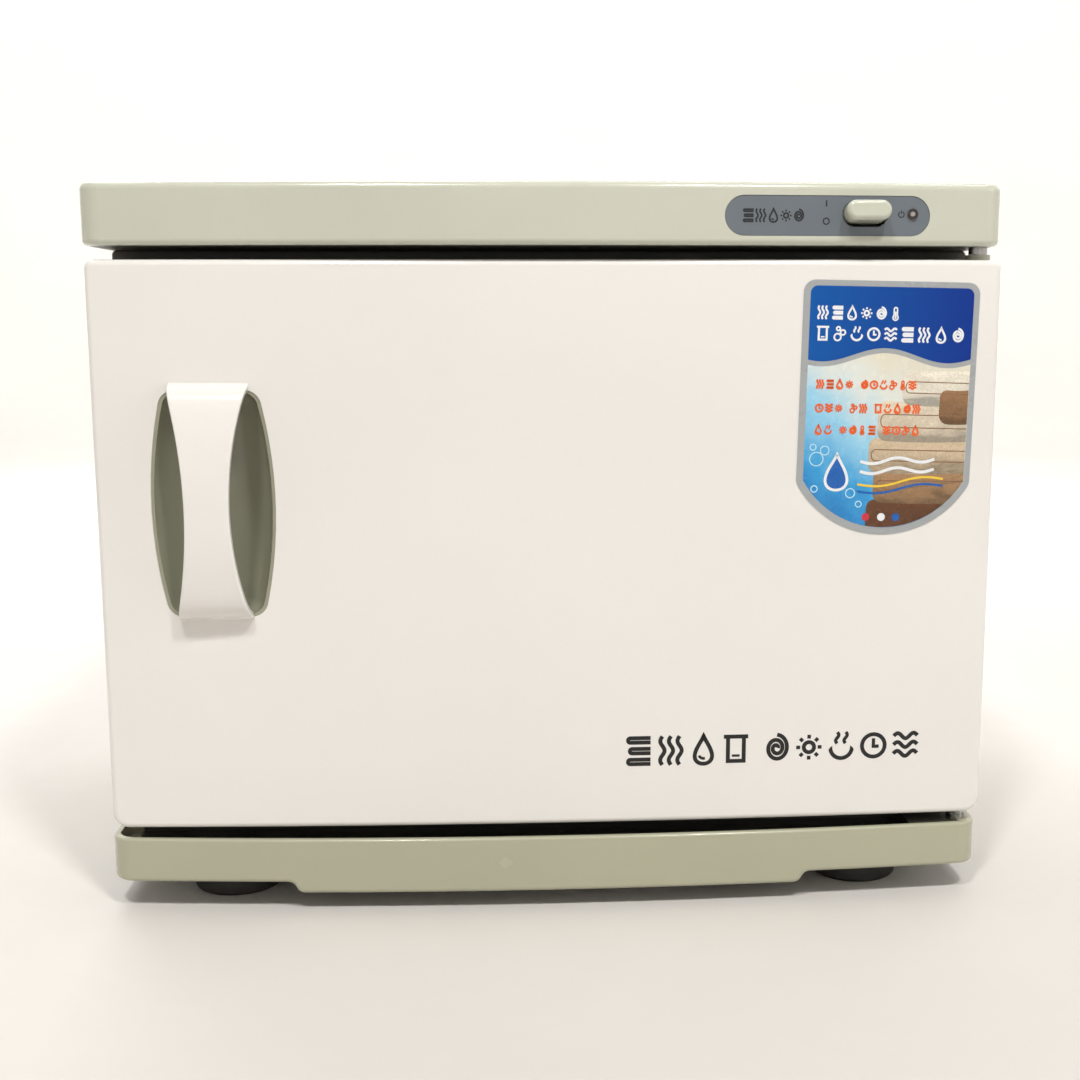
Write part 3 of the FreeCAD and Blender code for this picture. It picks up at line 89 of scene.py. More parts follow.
class Graph:
    """A material's node tree, with short calls for the few nodes that the finishes use."""

    def __init__(self, name):
        self.material = bpy.data.materials.new(name)
        self.material.use_nodes = True
        self.tree = self.material.node_tree
        self.shader = self.tree.nodes["Principled BSDF"]
        coordinates = self.tree.nodes.new("ShaderNodeTexCoord")
        self.place = coordinates.outputs["Object"]

    def link(self, source, target):
        self.tree.links.new(source, target)

    def fixed(self, **values):
        for name, value in values.items():
            self.shader.inputs[name.replace("_", " ")].default_value = value

    def stretched(self, x, y, z):
        mapping = self.tree.nodes.new("ShaderNodeMapping")
        mapping.inputs["Scale"].default_value = (x, y, z)
        self.link(self.place, mapping.inputs["Vector"])
        return mapping.outputs["Vector"]

    def noise(self, scale, detail=3.0, roughness=0.5, vector=None, distortion=0.0):
        node = self.tree.nodes.new("ShaderNodeTexNoise")
        node.inputs["Scale"].default_value = scale
        node.inputs["Detail"].default_value = detail
        node.inputs["Roughness"].default_value = roughness
        node.inputs["Distortion"].default_value = distortion
        self.link(vector or self.place, node.inputs["Vector"])
        return node.outputs["Fac"]

    def cells(self, scale, feature="F1"):
        node = self.tree.nodes.new("ShaderNodeTexVoronoi")
        node.feature = feature
        node.inputs["Scale"].default_value = scale
        self.link(self.place, node.inputs["Vector"])
        return node.outputs["Distance"]

    def spread(self, source, low, high, from_low=0.3, from_high=0.7):
        node = self.tree.nodes.new("ShaderNodeMapRange")
        node.inputs["From Min"].default_value = from_low
        node.inputs["From Max"].default_value = from_high
        node.inputs["To Min"].default_value = low
        node.inputs["To Max"].default_value = high
        self.link(source, node.inputs["Value"])
        return node.outputs["Result"]

    def maths(self, operation, first, second):
        node = self.tree.nodes.new("ShaderNodeMath")
        node.operation = operation
        for socket, value in zip(node.inputs, (first, second)):
            if isinstance(value, (int, float)):
                socket.default_value = value
            else:
                self.link(value, socket)
        return node.outputs["Value"]

    def axis(self, name):
        node = self.tree.nodes.new("ShaderNodeSeparateXYZ")
        self.link(self.place, node.inputs["Vector"])
        return node.outputs[name]

    def ramp(self, source, stops):
        node = self.tree.nodes.new("ShaderNodeValToRGB")
        elements = node.color_ramp.elements
        while len(elements) < len(stops):
            elements.new(0.5)
        for element, (position, colour) in zip(elements, stops):
            element.position = position
            element.color = (*colour, 1.0)
        self.link(source, node.inputs["Fac"])
        return node.outputs["Color"]

    def mix(self, factor, first, second):
        node = self.tree.nodes.new("ShaderNodeMix")
        node.data_type = "RGBA"
        for key, value in (("Factor", factor), ("A", first), ("B", second)):
            socket = [s for s in node.inputs if s.name == key and s.enabled][0]
            if isinstance(value, (int, float)):
                socket.default_value = value
            elif isinstance(value, tuple):
                socket.default_value = (*value, 1.0)
            else:
                self.link(value, socket)
        return [s for s in node.outputs if s.enabled][0]

    def bump(self, height, strength, distance, under=None):
        node = self.tree.nodes.new("ShaderNodeBump")
        node.inputs["Strength"].default_value = strength
        node.inputs["Distance"].default_value = distance
        self.link(height, node.inputs["Height"])
        if under is not None:
            self.link(under, node.inputs["Normal"])
        return node.outputs["Normal"]

    def colour(self, source):
        self.link(source, self.shader.inputs["Base Color"])

    def rough(self, source):
        self.link(source, self.shader.inputs["Roughness"])

    def normal(self, source):
        self.link(source, self.shader.inputs["Normal"])


def shade(colour, factor):
    """The colour made darker or lighter, with no channel above 1."""
    return tuple(min(1.0, c * factor) for c in colour)


# The inside of the base's front rim: its y at the middle, and how far it bows back as a share
# of x squared. Then the half width, the lowest z and the rearmost y of the painted shade behind
# it, which stands in for the shadow in the gap under the door, and how gradually its edges fade.
# Last, how far the painted shade darkens the base's colour.
RIM_INSIDE = -0.1546
RIM_BOW = 0.2075
GAP_HALF = 0.2150
GAP_FLOOR = 0.0303
GAP_BACK = 0.0950
SOFT = 0.0003
PAINTED_GAP_SHADE = 0.10


def painted_gap_shade_mask(g):
    """Mask of painted shade: 1 on the base behind its front rim, where the gap under the door lies
    in shadow, 0 elsewhere.
    """
    x, y = g.axis("X"), g.axis("Y")
    across = g.maths("MULTIPLY", x, x)
    unbowed = g.maths("SUBTRACT", y, g.maths("MULTIPLY", across, RIM_BOW))
    back = g.spread(unbowed, 0.0, 1.0, RIM_INSIDE - SOFT, RIM_INSIDE + SOFT)
    front = g.spread(y, 1.0, 0.0, GAP_BACK - SOFT, GAP_BACK + SOFT)
    inside = g.spread(across, 1.0, 0.0, GAP_HALF ** 2 - SOFT, GAP_HALF ** 2 + SOFT)
    above = g.spread(g.axis("Z"), 0.0, 1.0, GAP_FLOOR - SOFT, GAP_FLOOR + SOFT)
    return g.maths("MULTIPLY", g.maths("MULTIPLY", back, front), g.maths("MULTIPLY", inside, above))


def moulded(name, colour, roughness, variation=0.03, grain=0.0, coat=0.0, painted_trough_shade=False):
    """Injection moulded plastic: flow ripple, slight tone drift, smudged gloss, spark grain, and if
    asked, painted shade behind the base's front rim.
    """
    ripple = 0.25
    g = Graph(name)
    drift = g.noise(9.0, 3.0)
    speck = g.noise(700.0, 2.0)
    tone = g.mix(g.spread(drift, 0.0, 1.0),
                 shade(colour, 1 - variation), shade(colour, 1 + variation))
    tone = g.mix(g.spread(speck, 0.0, 0.12, 0.45, 0.75), tone, shade(colour, 0.93))
    if painted_trough_shade:
        # Painted shade: the base's colour is darkened behind its front rim, where the gap under the
        # door lies in shadow.
        tone = g.mix(painted_gap_shade_mask(g), tone, shade(colour, PAINTED_GAP_SHADE))
    g.colour(tone)
    smudge = g.noise(26.0, 4.0, 0.6, distortion=0.4)
    g.rough(g.spread(smudge, roughness * 0.8, roughness * 1.25))
    normal = g.bump(g.noise(34.0, 1.0), ripple, 0.00012)
    normal = g.bump(g.noise(1500.0, 2.0), 0.06 + grain, 0.00006, normal)
    g.normal(normal)
    g.fixed(IOR=1.5, Coat_Weight=coat, Coat_Roughness=0.06)
    return g.material


def painted(name, colour, roughness):
    """Powder coat on sheet: orange peel and a little uneven tone."""
    g = Graph(name)
    tone = g.mix(g.spread(g.noise(6.0, 4.0), 0.0, 1.0), shade(colour, 0.96), shade(colour, 1.03))
    g.colour(tone)
    g.rough(g.spread(g.noise(40.0, 3.0), roughness * 0.85, roughness * 1.2))
    peel = g.bump(g.cells(900.0, feature="SMOOTH_F1"), 0.12, 0.0001)
    g.normal(g.bump(g.noise(300.0, 2.0), 0.1, 0.00008, peel))
    g.fixed(IOR=1.48)
    return g.material


def metal(name, colour, roughness, stretch=(1, 1, 1), scratch=0.1, scale=900.0, blotch=0.06):
    """Bare metal with fine directional scratches and cloudy patches of dullness."""
    g = Graph(name)
    streaks = g.noise(scale, 4.0, 0.7, g.stretched(*stretch))
    cloud = g.noise(14.0, 4.0, 0.6)
    tone = g.mix(g.spread(cloud, 0.0, 1.0), shade(colour, 1 - blotch), shade(colour, 1 + blotch))
    tone = g.mix(g.spread(streaks, 0.0, 0.35, 0.4, 0.8), tone, shade(colour, 0.82))
    g.colour(tone)
    g.rough(g.maths("ADD", g.spread(streaks, roughness * 0.7, roughness * 1.2),
                    g.spread(cloud, -0.03, 0.05)))
    g.normal(g.bump(streaks, scratch, 0.00004))
    g.fixed(Metallic=1.0)
    return g.material


def rubber(name, colour):
    """Matt rubber with fine grain and a light bloom of dust."""
    g = Graph(name)
    dust = g.noise(60.0, 5.0, 0.65)
    g.colour(g.mix(g.spread(dust, 0.0, 0.5, 0.45, 0.75), colour, shade(colour, 2.2)))
    g.rough(g.spread(dust, 0.5, 0.75))
    g.normal(g.bump(g.noise(1400.0, 3.0), 0.25, 0.0001))
    g.fixed(IOR=1.45)
    return g.material


def wool(name, colour):
    """Matted mineral fibres."""
    g = Graph(name)
    fibre = g.noise(260.0, 6.0, 0.75, g.stretched(1.0, 4.0, 3.0), distortion=2.0)
    g.colour(g.mix(g.spread(fibre, 0.0, 1.0), shade(colour, 0.7), shade(colour, 1.2)))
    g.rough(g.spread(fibre, 0.85, 1.0))
    g.normal(g.bump(fibre, 0.8, 0.001))
    return g.material


def printed(name, colour, roughness=0.32, drift=0.05):
    """Screen print ink: solid colour with small pinholes and a slight thickness texture."""
    g = Graph(name)
    ink = g.noise(1800.0, 3.0)
    g.colour(g.mix(g.spread(ink, 0.0, 1.0), shade(colour, 1 - drift), shade(colour, 1 + drift)))
    g.rough(g.spread(g.noise(120.0, 3.0), roughness * 0.85, roughness * 1.15))
    g.normal(g.bump(ink, 0.08, 0.00002))
    return g.material


def clear_lens(name, colour):
    """Frosted plastic or glass with small facets."""
    g = Graph(name)
    swirl = g.noise(900.0, 2.0)
    g.colour(g.mix(g.spread(swirl, 0.0, 1.0), shade(colour, 0.85), shade(colour, 1.15)))
    g.rough(g.spread(swirl, 0.08, 0.18))
    g.normal(g.bump(g.cells(2500.0), 0.2, 0.00005))
    g.fixed(IOR=1.5, Transmission_Weight=0.25, Coat_Weight=0.4)
    return g.material


# ---------------------------------------------------------------- finishes of the CAD nodes

FINISHES = {
    "cap": moulded("cap_plastic", (0.545, 0.555, 0.465), 0.18, coat=0.3),
    # The base carries painted shade in the gap behind its front rim.
    "base": moulded("base_plastic", (0.415, 0.412, 0.300), 0.22, coat=0.3, painted_trough_shade=True),
    "door": moulded("door_plastic", (0.790, 0.770, 0.740), 0.14, variation=0.012, coat=0.5),
    "strap": moulded("strap_plastic", (0.795, 0.775, 0.745), 0.16, variation=0.012, coat=0.4),
    "recess": moulded("recess_plastic", (0.300, 0.298, 0.222), 0.16, coat=0.2),
    "ivory": moulded("ivory_plastic", (0.530, 0.545, 0.450), 0.20, coat=0.4),
    "slate": moulded("slate_label", (0.138, 0.160, 0.185), 0.40, grain=0.15),
    "black": moulded("black_plastic", (0.020, 0.020, 0.019), 0.40, variation=0.15, grain=0.35),
    "white": moulded("white_plastic", (0.720, 0.710, 0.670), 0.35, grain=0.10),
    # Dark grey for the cap tray and front frame: partly their own grey plastic, partly painted
    # shade, darker than the plastic so the gaps round the door read black.
    "grey": moulded("grey_plastic", (0.115, 0.115, 0.098), 0.42, grain=0.20),
    "paint": painted("painted_sheet", (0.700, 0.690, 0.640), 0.36),
    "zinc": metal("zinc_sheet", (0.560, 0.570, 0.580), 0.34, (1, 14, 14), 0.2, 160.0, 0.12),
    "screw": metal("screw_steel", (0.620, 0.620, 0.630), 0.24, (1, 1, 1), 0.2, 1500.0),
    "wire": metal("stainless_wire", (0.700, 0.700, 0.710), 0.16, (1, 1, 1), 0.08, 1200.0),
    "chamber": metal("chamber_aluminium", (0.720, 0.725, 0.730), 0.30, (18, 18, 1), 0.2, 120.0,
                     0.04),
    "wool": wool("mineral_wool", (0.560, 0.510, 0.390)),
    "rubber": rubber("black_rubber", (0.024, 0.024, 0.021)),
    "gasket": rubber("gasket_rubber", (0.360, 0.360, 0.340)),
    "lens": clear_lens("pink_lens", (0.400, 0.380, 0.370)),
    "lamp": clear_lens("lamp_glass", (0.700, 0.450, 0.300)),
    "brass": metal("brass", (0.700, 0.540, 0.270), 0.28, (1, 1, 1), 0.15, 900.0),
    "bezel": moulded("bezel_plastic", (0.040, 0.028, 0.026), 0.30),
    "wires": moulded("wire_pvc", (0.620, 0.600, 0.560), 0.42),
    "foil": printed("sticker_foil", (0.350, 0.370, 0.380), 0.30),
}

USES = {
    "cap": ["top_cover"],
    "base": ["base_moulding"],
    "door": ["door_outer_shell"],
    "strap": ["handle_strap"],
    "recess": ["handle_recess_cup"],
    "ivory": ["switch_rocker", "upper_hinge_bush", "lower_hinge_bush"],
    "slate": ["control_label"],
    "black": ["switch_body", "catch_magnet", "thermostat", "power_inlet", "fuse_holder"],
    "white": ["door_inner_panel", "terminal_block"],
    "grey": ["cap_tray", "front_frame"],
    "paint": ["outer_shell", "rear_panel"],
    "zinc": ["bottom_plate", "upper_hinge_bracket", "lower_hinge_bracket", "heater_clamps",
             "catch_plate", "thermal_fuse"],
    "screw": ["cap_screws", "bottom_plate_screws", "body_screws", "foot_screws", "rear_screws",
              "rail_rivets", "upper_hinge_pin", "lower_hinge_pin", "hinge_screws", "inlet_screws",
              "door_panel_screws", "catch_plate_screws", "switch_pivot",
              "upper_hinge_washer", "lower_hinge_washer"],
    "wire": ["lower_rack", "upper_rack", "rack_rails"],
    "chamber": ["inner_chamber", "drip_tray", "heater_plate"],
    "wool": ["insulation_blankets", "door_insulation"],
    "rubber": ["feet", "wire_grommet"],
    "gasket": ["door_gasket"],
    "lens": ["indicator_lens"],
    "lamp": ["indicator_lamp"],
    "brass": ["terminal_screws", "inlet_pins", "earth_stud"],
    "bezel": ["indicator_bezel"],
    "foil": ["door_sticker"],
    "wires": ["wiring"],
}


def finish_nodes():
    """Gives each CAD node its finish."""
    for key, names in USES.items():
        for name in names:
            mesh = nodes[name].data
            mesh.materials.clear()
            mesh.materials.append(FINISHES[key])


finish_nodes()


# ---------------------------------------------------------------- flat shapes for prints

# A shape is a list of points (x, z) and a list of faces. Sizes are in millimetres.

def filled(outline):
    """The area inside a closed outline."""
    corners = [Vector((x, 0, z)) for x, z in outline]
    return outline, [tuple(triangle) for triangle in tessellate_polygon([corners])]


def ribbon(points, width, closed=False):
    """Line of one width with mitred joints."""
    count = len(points)
    edges = []
    for i, (x, z) in enumerate(points):
        before = points[i - 1] if (i > 0 or closed) else points[0]
        after = points[(i + 1) % count] if (i < count - 1 or closed) else points[-1]
        here = Vector((x, z))
        into, out = here - Vector(before), Vector(after) - here
        into = into.normalized() if into.length else out.normalized()
        out = out.normalized() if out.length else into
        tangent = (into + out).normalized()
        reach = width / 2 / max(0.5, tangent.dot(out))
        edges.append(Vector((-tangent.y, tangent.x)) * reach)
    left = [(x + e.x, z + e.y) for (x, z), e in zip(points, edges)]
    right = [(x - e.x, z - e.y) for (x, z), e in zip(points, edges)]
    spans = count if closed else count - 1
    faces = [(i, (i + 1) % count, count + (i + 1) % count, count + i) for i in range(spans)]
    return left + right, faces


def arc(centre, radius, start, end, count=16):
    """Points along an arc; the angles are in degrees."""
    angles = [math.radians(start + (end - start) * i / count) for i in range(count + 1)]
    return [(centre[0] + radius * math.cos(a), centre[1] + radius * math.sin(a)) for a in angles]


def circle(centre, radius):
    """Points round a circle, with the first one not repeated."""
    count = 28
    return arc(centre, radius, 0, 360, count)[:-1]


def rounded_box(x0, x1, z0, z1, radius):
    """Outline of a box with round corners."""
    corners = ((x1 - radius, z1 - radius, 0), (x0 + radius, z1 - radius, 90),
               (x0 + radius, z0 + radius, 180), (x1 - radius, z0 + radius, 270))
    points = []
    for x, z, start in corners:
        points += arc((x, z), radius, start, start + 90, 5)
    return points


def drop_outline(x, z, width, height):
    """Teardrop: a round belly that narrows to a point at the top."""
    count, taper, belly = 36, 1.6, 1.25
    points = []
    for i in range(count):
        turn = 2 * math.pi * i / count
        narrow = math.sin(turn / 2) ** taper
        side = width / 2 * math.sin(turn) * narrow * belly
        points.append((x - side, z + height / 2 * math.cos(turn)))
    return points


def wavy(x0, z0, dx, dz, swing, waves):
    """Points along a line from (x0, z0) that sways to both sides."""
    count = 28
    length = math.hypot(dx, dz)
    points = []
    for i in range(count + 1):
        t = i / count
        side = swing * math.sin(2 * math.pi * waves * t)
        points.append((x0 + dx * t - dz / length * side, z0 + dz * t + dx / length * side))
    return points


# Pictograms: each fills about 0.8 by 1 and takes the line's width in the same units.

def folded_towels(line):
    folds = []
    for low, left in ((0.0, 0.0), (0.36, 0.06), (0.72, 0.0)):
        radius = 0.14 - line / 2
        bend = (left + 0.14, low + 0.14)
        lower, upper = (0.8, bend[1] - radius), (0.8, bend[1] + radius)
        folds.append(ribbon([lower] + arc(bend, radius, 270, 90, 10) + [upper], line))
    return folds


def steam(line):
    return [ribbon(wavy(x, 0.02, 0.0, 0.96, 0.07, 1.5), line) for x in (0.12, 0.40, 0.68)]


def rolled_towel(line):
    count, turn = 60, 14.1
    spiral = []
    for i in range(count + 1):
        t = i / count
        across, along = 0.05 + 0.33 * t, 0.05 + 0.40 * t
        spiral.append((0.4 + across * math.cos(turn * t), 0.5 + along * math.sin(turn * t)))
    return [ribbon(spiral, line)]


def water_drop(line):
    return [ribbon(drop_outline(0.4, 0.5, 0.66, 0.94), line, closed=True),
            ribbon(arc((0.4, 0.36), 0.15, 200, 290, 8), line * 0.7)]


def thermometer(line):
    stem = arc((0.4, 0.82), 0.12, 0, 180, 10) + arc((0.4, 0.22), 0.19, 130, 410, 20)
    bar = rounded_box(0.4 - line * 0.4, 0.4 + line * 0.4, 0.2, 0.66, line * 0.38)
    return [ribbon(stem, line * 0.75, closed=True), filled(circle((0.4, 0.22), 0.09)), filled(bar)]


def sun(line):
    rays = []
    for i in range(8):
        a = math.pi * i / 4
        ends = [(0.4 + r * math.cos(a), 0.5 + r * math.sin(a)) for r in (0.29, 0.42)]
        rays.append(ribbon(ends, line * 0.9))
    return [ribbon(circle((0.4, 0.5), 0.17), line, closed=True)] + rays


def hanging_towel(line):
    cloth = [(0.14, 0.9), (0.14, 0.1), (0.66, 0.1), (0.66, 0.9)]
    return [ribbon([(0.0, 0.92), (0.8, 0.92)], line), ribbon(cloth, line),
            ribbon([(0.14 + line, 0.28), (0.66 - line, 0.28)], line * 0.6)]


def water(line):
    return [ribbon(wavy(0.0, z, 0.8, 0.0, 0.09, 1.5), line) for z in (0.2, 0.5, 0.8)]


def clock(line):
    return [ribbon(circle((0.4, 0.5), 0.38), line, closed=True),
            ribbon([(0.4, 0.74), (0.4, 0.47), (0.58, 0.47)], line * 0.85)]


def basin(line):
    bowl = [(0.02, 0.46)] + arc((0.4, 0.46), 0.36, 180, 360, 18) + [(0.78, 0.46)]
    wisps = [ribbon(wavy(x, 0.6, 0.0, 0.38, 0.05, 1.0), line * 0.85) for x in (0.26, 0.54)]
    return [ribbon(bowl, line, closed=True)] + wisps


def bubbles(line):
    rings = (((0.26, 0.28), 0.22), ((0.60, 0.58), 0.16), ((0.30, 0.82), 0.12))
    return [ribbon(circle(centre, radius), line * 0.8, closed=True) for centre, radius in rings]


def placed(shapes, x, z, size):
    """Shapes scaled by size, with their lower left corner at (x, z)."""
    moved = []
    for points, faces in shapes:
        moved.append(([(x + px * size, z + pz * size) for px, pz in points], faces))
    return moved


def pictogram_row(icons, x0, x1, z0, height, line):
    """Pictograms spread evenly from x0 to x1."""
    width = 0.8 * height
    pitch = (x1 - x0 - width) / (len(icons) - 1)
    row = []
    for i, icon in enumerate(icons):
        row += placed(icon(line / height), x0 + i * pitch, z0, height)
    return row


# ---------------------------------------------------------------- prints on the CAD faces

# Points this close are one, prints are cut into strips this wide, and rays start at this y.
SAME_PLACE = 1e-7
STRIP = 8 * MM
IN_FRONT = -0.3
UPRIGHT = Matrix.Identity(4)


def film(name, shapes, under, lift, thickness, material, body, turn):
    """Thin solid of ink or foil that lies on a node's front face, cut to follow its bow."""
    skin = nodes[under].data
    tree = BVHTree.FromPolygons([v.co for v in skin.vertices], [p.vertices for p in skin.polygons])
    bm = bmesh.new()
    for points, faces in shapes:
        verts = [bm.verts.new(turn @ Vector((x, 0, z)) * MM) for x, z in points]
        for face in faces:
            bm.faces.new([verts[i] for i in face])
    bmesh.ops.remove_doubles(bm, verts=bm.verts, dist=SAME_PLACE)
    xs = [v.co.x for v in bm.verts]
    for index in range(math.ceil(min(xs) / STRIP), math.ceil(max(xs) / STRIP)):
        everything = bm.verts[:] + bm.edges[:] + bm.faces[:]
        cut = (index * STRIP, 0, 0)
        bmesh.ops.bisect_plane(bm, geom=everything, dist=SAME_PLACE,
                               plane_co=cut, plane_no=(1, 0, 0))
    for v in bm.verts:
        hit = tree.ray_cast(Vector((v.co.x, IN_FRONT, v.co.z)), Vector((0, 1, 0)))[0]
        v.co.y = hit.y - lift * MM
    made = bmesh.ops.extrude_face_region(bm, geom=bm.faces[:])["geom"]
    for v in [item for item in made if isinstance(item, bmesh.types.BMVert)]:
        v.co.y -= thickness * MM
    bmesh.ops.recalc_face_normals(bm, faces=bm.faces)
    mesh = bpy.data.meshes.new(name)
    bm.to_mesh(mesh)
    bm.free()
    mesh.materials.append(material)
    piece = bpy.data.objects.new(name, mesh)
    bpy.context.scene.collection.objects.link(piece)
    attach(piece, body)


# Thickness of one layer of ink and the size of the door's pictograms, in millimetres.
INK = 0.04
ICON_HEIGHT = 15.8
ICON_LINE = 2.1
BLACK_INK = printed("black_ink", (0.006, 0.006, 0.006), 0.50, 0.2)
DARK_INK = printed("dark_ink", (0.014, 0.016, 0.020), 0.50, 0.2)
WHITE_INK = printed("white_ink", (0.780, 0.800, 0.820), 0.30)


def print_door():
    """Row of large pictograms near the door's lower right corner, in two groups."""
    first = [folded_towels, steam, water_drop, hanging_towel]
    second = [rolled_towel, sun, basin, clock, water]
    above_edge, from_edge = 30.2, 34.5
    first_start, first_end, second_start = 152.0, 89.0, 80.5
    low = door_low.z + above_edge
    right = door_high.x - from_edge
    row = pictogram_row(first, right - first_start, right - first_end, low, ICON_HEIGHT, ICON_LINE)
    row += pictogram_row(second, right - second_start, right, low, ICON_HEIGHT, ICON_LINE)
    film("door_pictograms", row, "door_outer_shell", 0.0, INK, BLACK_INK, "door",
         UPRIGHT)


def print_label():
    """Marks on the control strip: pictograms, the switch's two marks and the lamp's mark."""
    icon_height, icon_line, row_inset, row_length = 6.6, 0.9, 8.6, 30.0
    low = (label_low.z + label_high.z) / 2 - icon_height / 2
    left = label_low.x + row_inset
    icons = [folded_towels, steam, water_drop, sun, rolled_towel]
    marks = pictogram_row(icons, left, left + row_length, low, icon_height, icon_line)
    from_rocker, half, apart, bar_line, ring_line = 8.6, 1.45, 4.2, 0.75, 0.65
    mark_x = rocker_low.x - from_rocker
    middle_z = (rocker_low.z + rocker_high.z) / 2
    bar = [(mark_x, middle_z + apart - half), (mark_x, middle_z + apart + half)]
    marks.append(ribbon(bar, bar_line))
    marks.append(ribbon(circle((mark_x, middle_z - apart), half), ring_line, closed=True))
    from_lens, radius, lamp_line = 4.2, 1.4, 0.55
    lamp_x, lamp_z = lens_low.x - from_lens, (lens_low.z + lens_high.z) / 2
    marks.append(ribbon(arc((lamp_x, lamp_z - 0.2), radius, 125, 415, 20), lamp_line))
    marks.append(ribbon([(lamp_x, lamp_z), (lamp_x, lamp_z + 1.7)], lamp_line))
    film("label_marks", marks, "control_label", 0.0, INK / 2, DARK_INK, "cabinet",
         UPRIGHT)


# ---------------------------------------------------------------- sticker

# The sticker's artwork is laid out from its upper left corner, before it is turned askew:
# u runs to the right and v down.
STICKER_WIDTH = 89.0
STICKER_LENGTH = 126.0
STICKER_ARC_DROP = 26.0
STICKER_TILT = math.radians(1.1)
BORDER = 3.2
ARC_R = ((STICKER_WIDTH / 2) ** 2 + STICKER_ARC_DROP ** 2) / (2 * STICKER_ARC_DROP)
ARC_V = STICKER_LENGTH - ARC_R
sticker_middle = (sticker_low + sticker_high) / 2

# How many layers of ink lie under each print. Towels overlap, so each lies a part layer higher.
ON_FOIL, ON_HEADER, ON_SKY, TOWEL_STEP, ON_TOWELS, ON_PICTURE, ON_DROP = 0, 1, 1, 0.25, 2.6, 3, 3.4


def sticker_turn():
    """Takes artwork to the sticker's place on the door, turned askew."""
    to_middle = Matrix.Translation((-STICKER_WIDTH / 2, 0, STICKER_LENGTH / 2))
    place = Matrix.Translation((sticker_middle.x, 0, sticker_middle.z))
    return place @ Matrix.Rotation(STICKER_TILT, 4, "Y") @ to_middle


def uv(points):
    """Artwork points (u, v) as (x, z) before the turn."""
    return [(u, -v) for u, v in points]


def wave_v(u):
    """Lower edge of the blue header."""
    middle, swing, length, trough_u = 36.6, 3.5, 64.0, 10.0
    return middle + swing * math.cos(2 * math.pi * (u - trough_u) / length)


def wave_points(shift):
    """The header's lower edge from border to border, moved down by shift."""
    count = 40
    span = STICKER_WIDTH - 2 * BORDER
    us = [BORDER + span * i / count for i in range(count + 1)]
    return [(u, wave_v(u) + shift) for u in us]


def arc_v(u, inset):
    """Lower edge of the artwork, inset from the sticker's bowed end."""
    reach = (ARC_R - inset) ** 2 - (u - STICKER_WIDTH / 2) ** 2
    return ARC_V + math.sqrt(max(0.0, reach))


def clipped(points):
    """Keeps a shape inside the border at the right and above the bowed end."""
    inset = BORDER + 0.15
    right = STICKER_WIDTH - inset
    kept = [(min(u, right), v) for u, v in points]
    return [(u, min(v, arc_v(u, inset))) for u, v in kept]


def sky(name):
    """Printed sky: cream at the upper right, deep blue at the lower left, with soft clouds."""
    g = Graph(name)
    across, along = g.axis("X"), g.axis("Z")
    low, high = sticker_low * MM, sticker_high * MM
    right = g.spread(across, 0.0, 1.0, low.x, high.x)
    up = g.spread(along, 0.0, 1.0, low.z, high.z)
    blend = g.maths("ADD", g.maths("MULTIPLY", right, 0.42), g.maths("MULTIPLY", up, 0.95))
    blend = g.maths("ADD", blend, g.spread(g.noise(55.0, 4.0, 0.6), -0.06, 0.06))
    g.colour(g.ramp(blend, [(0.12, (0.008, 0.150, 0.470)), (0.30, (0.040, 0.330, 0.660)),
                            (0.52, (0.300, 0.600, 0.790)), (0.72, (0.700, 0.740, 0.690)),
                            (0.90, (0.720, 0.680, 0.560))]))
    g.rough(g.spread(g.noise(200.0, 3.0), 0.22, 0.30))
    return g.material


def header_ink(name):
    """Blue that deepens to the right."""
    g = Graph(name)
    low, high = sticker_low.x * MM, sticker_high.x * MM
    right = g.spread(g.axis("X"), 0.0, 1.0, low, high)
    tone = g.ramp(right, [(0.0, (0.003, 0.090, 0.360)), (1.0, (0.002, 0.026, 0.240))])
    g.colour(g.mix(g.spread(g.noise(1800.0, 2.0), 0.0, 0.05), tone, (0.02, 0.12, 0.40)))
    g.rough(g.spread(g.noise(200.0, 3.0), 0.44, 0.50))
    g.fixed(IOR=1.3)
    return g.material


def terry(name, colour, top, bottom):
    """Printed terry cloth: looped pile, lit along a fold's top and shaded towards its foot."""
    g = Graph(name)
    loops = g.cells(1100.0)
    folds = g.noise(75.0, 5.0, 0.65, g.stretched(0.7, 1.0, 2.2), distortion=0.6)
    high, low = (sticker_high.z - top) * MM, (sticker_high.z - bottom) * MM
    height = g.maths("ADD", g.spread(g.axis("Z"), 0.0, 1.0, low, high), g.spread(folds, -0.3, 0.3))
    tone = g.ramp(height, [(0.0, shade(colour, 0.45)), (0.25, shade(colour, 0.85)),
                           (0.7, shade(colour, 1.15)), (1.0, shade(colour, 1.3))])
    g.colour(g.mix(g.spread(loops, 0.0, 0.35, 0.2, 0.7), tone, shade(colour, 0.62)))
    g.rough(g.spread(g.noise(200.0, 3.0), 0.24, 0.32))
    return g.material


def word_rows(u, v, height, pitch, words):
    """Pictograms in groups, in place of a line of words that stands on v."""
    line = height * 0.20
    space = pitch * 0.55
    row = []
    for word in words:
        for icon in word:
            row += placed(icon(line / height), u, -v, height)
            u += pitch
        u += space
    return row


def sticker_piece(name, shapes, layer, material):
    """One ink of the sticker, which lies on so many layers of other ink."""
    film(name, shapes, "door_sticker", layer * INK, INK, material, "door",
         sticker_turn())


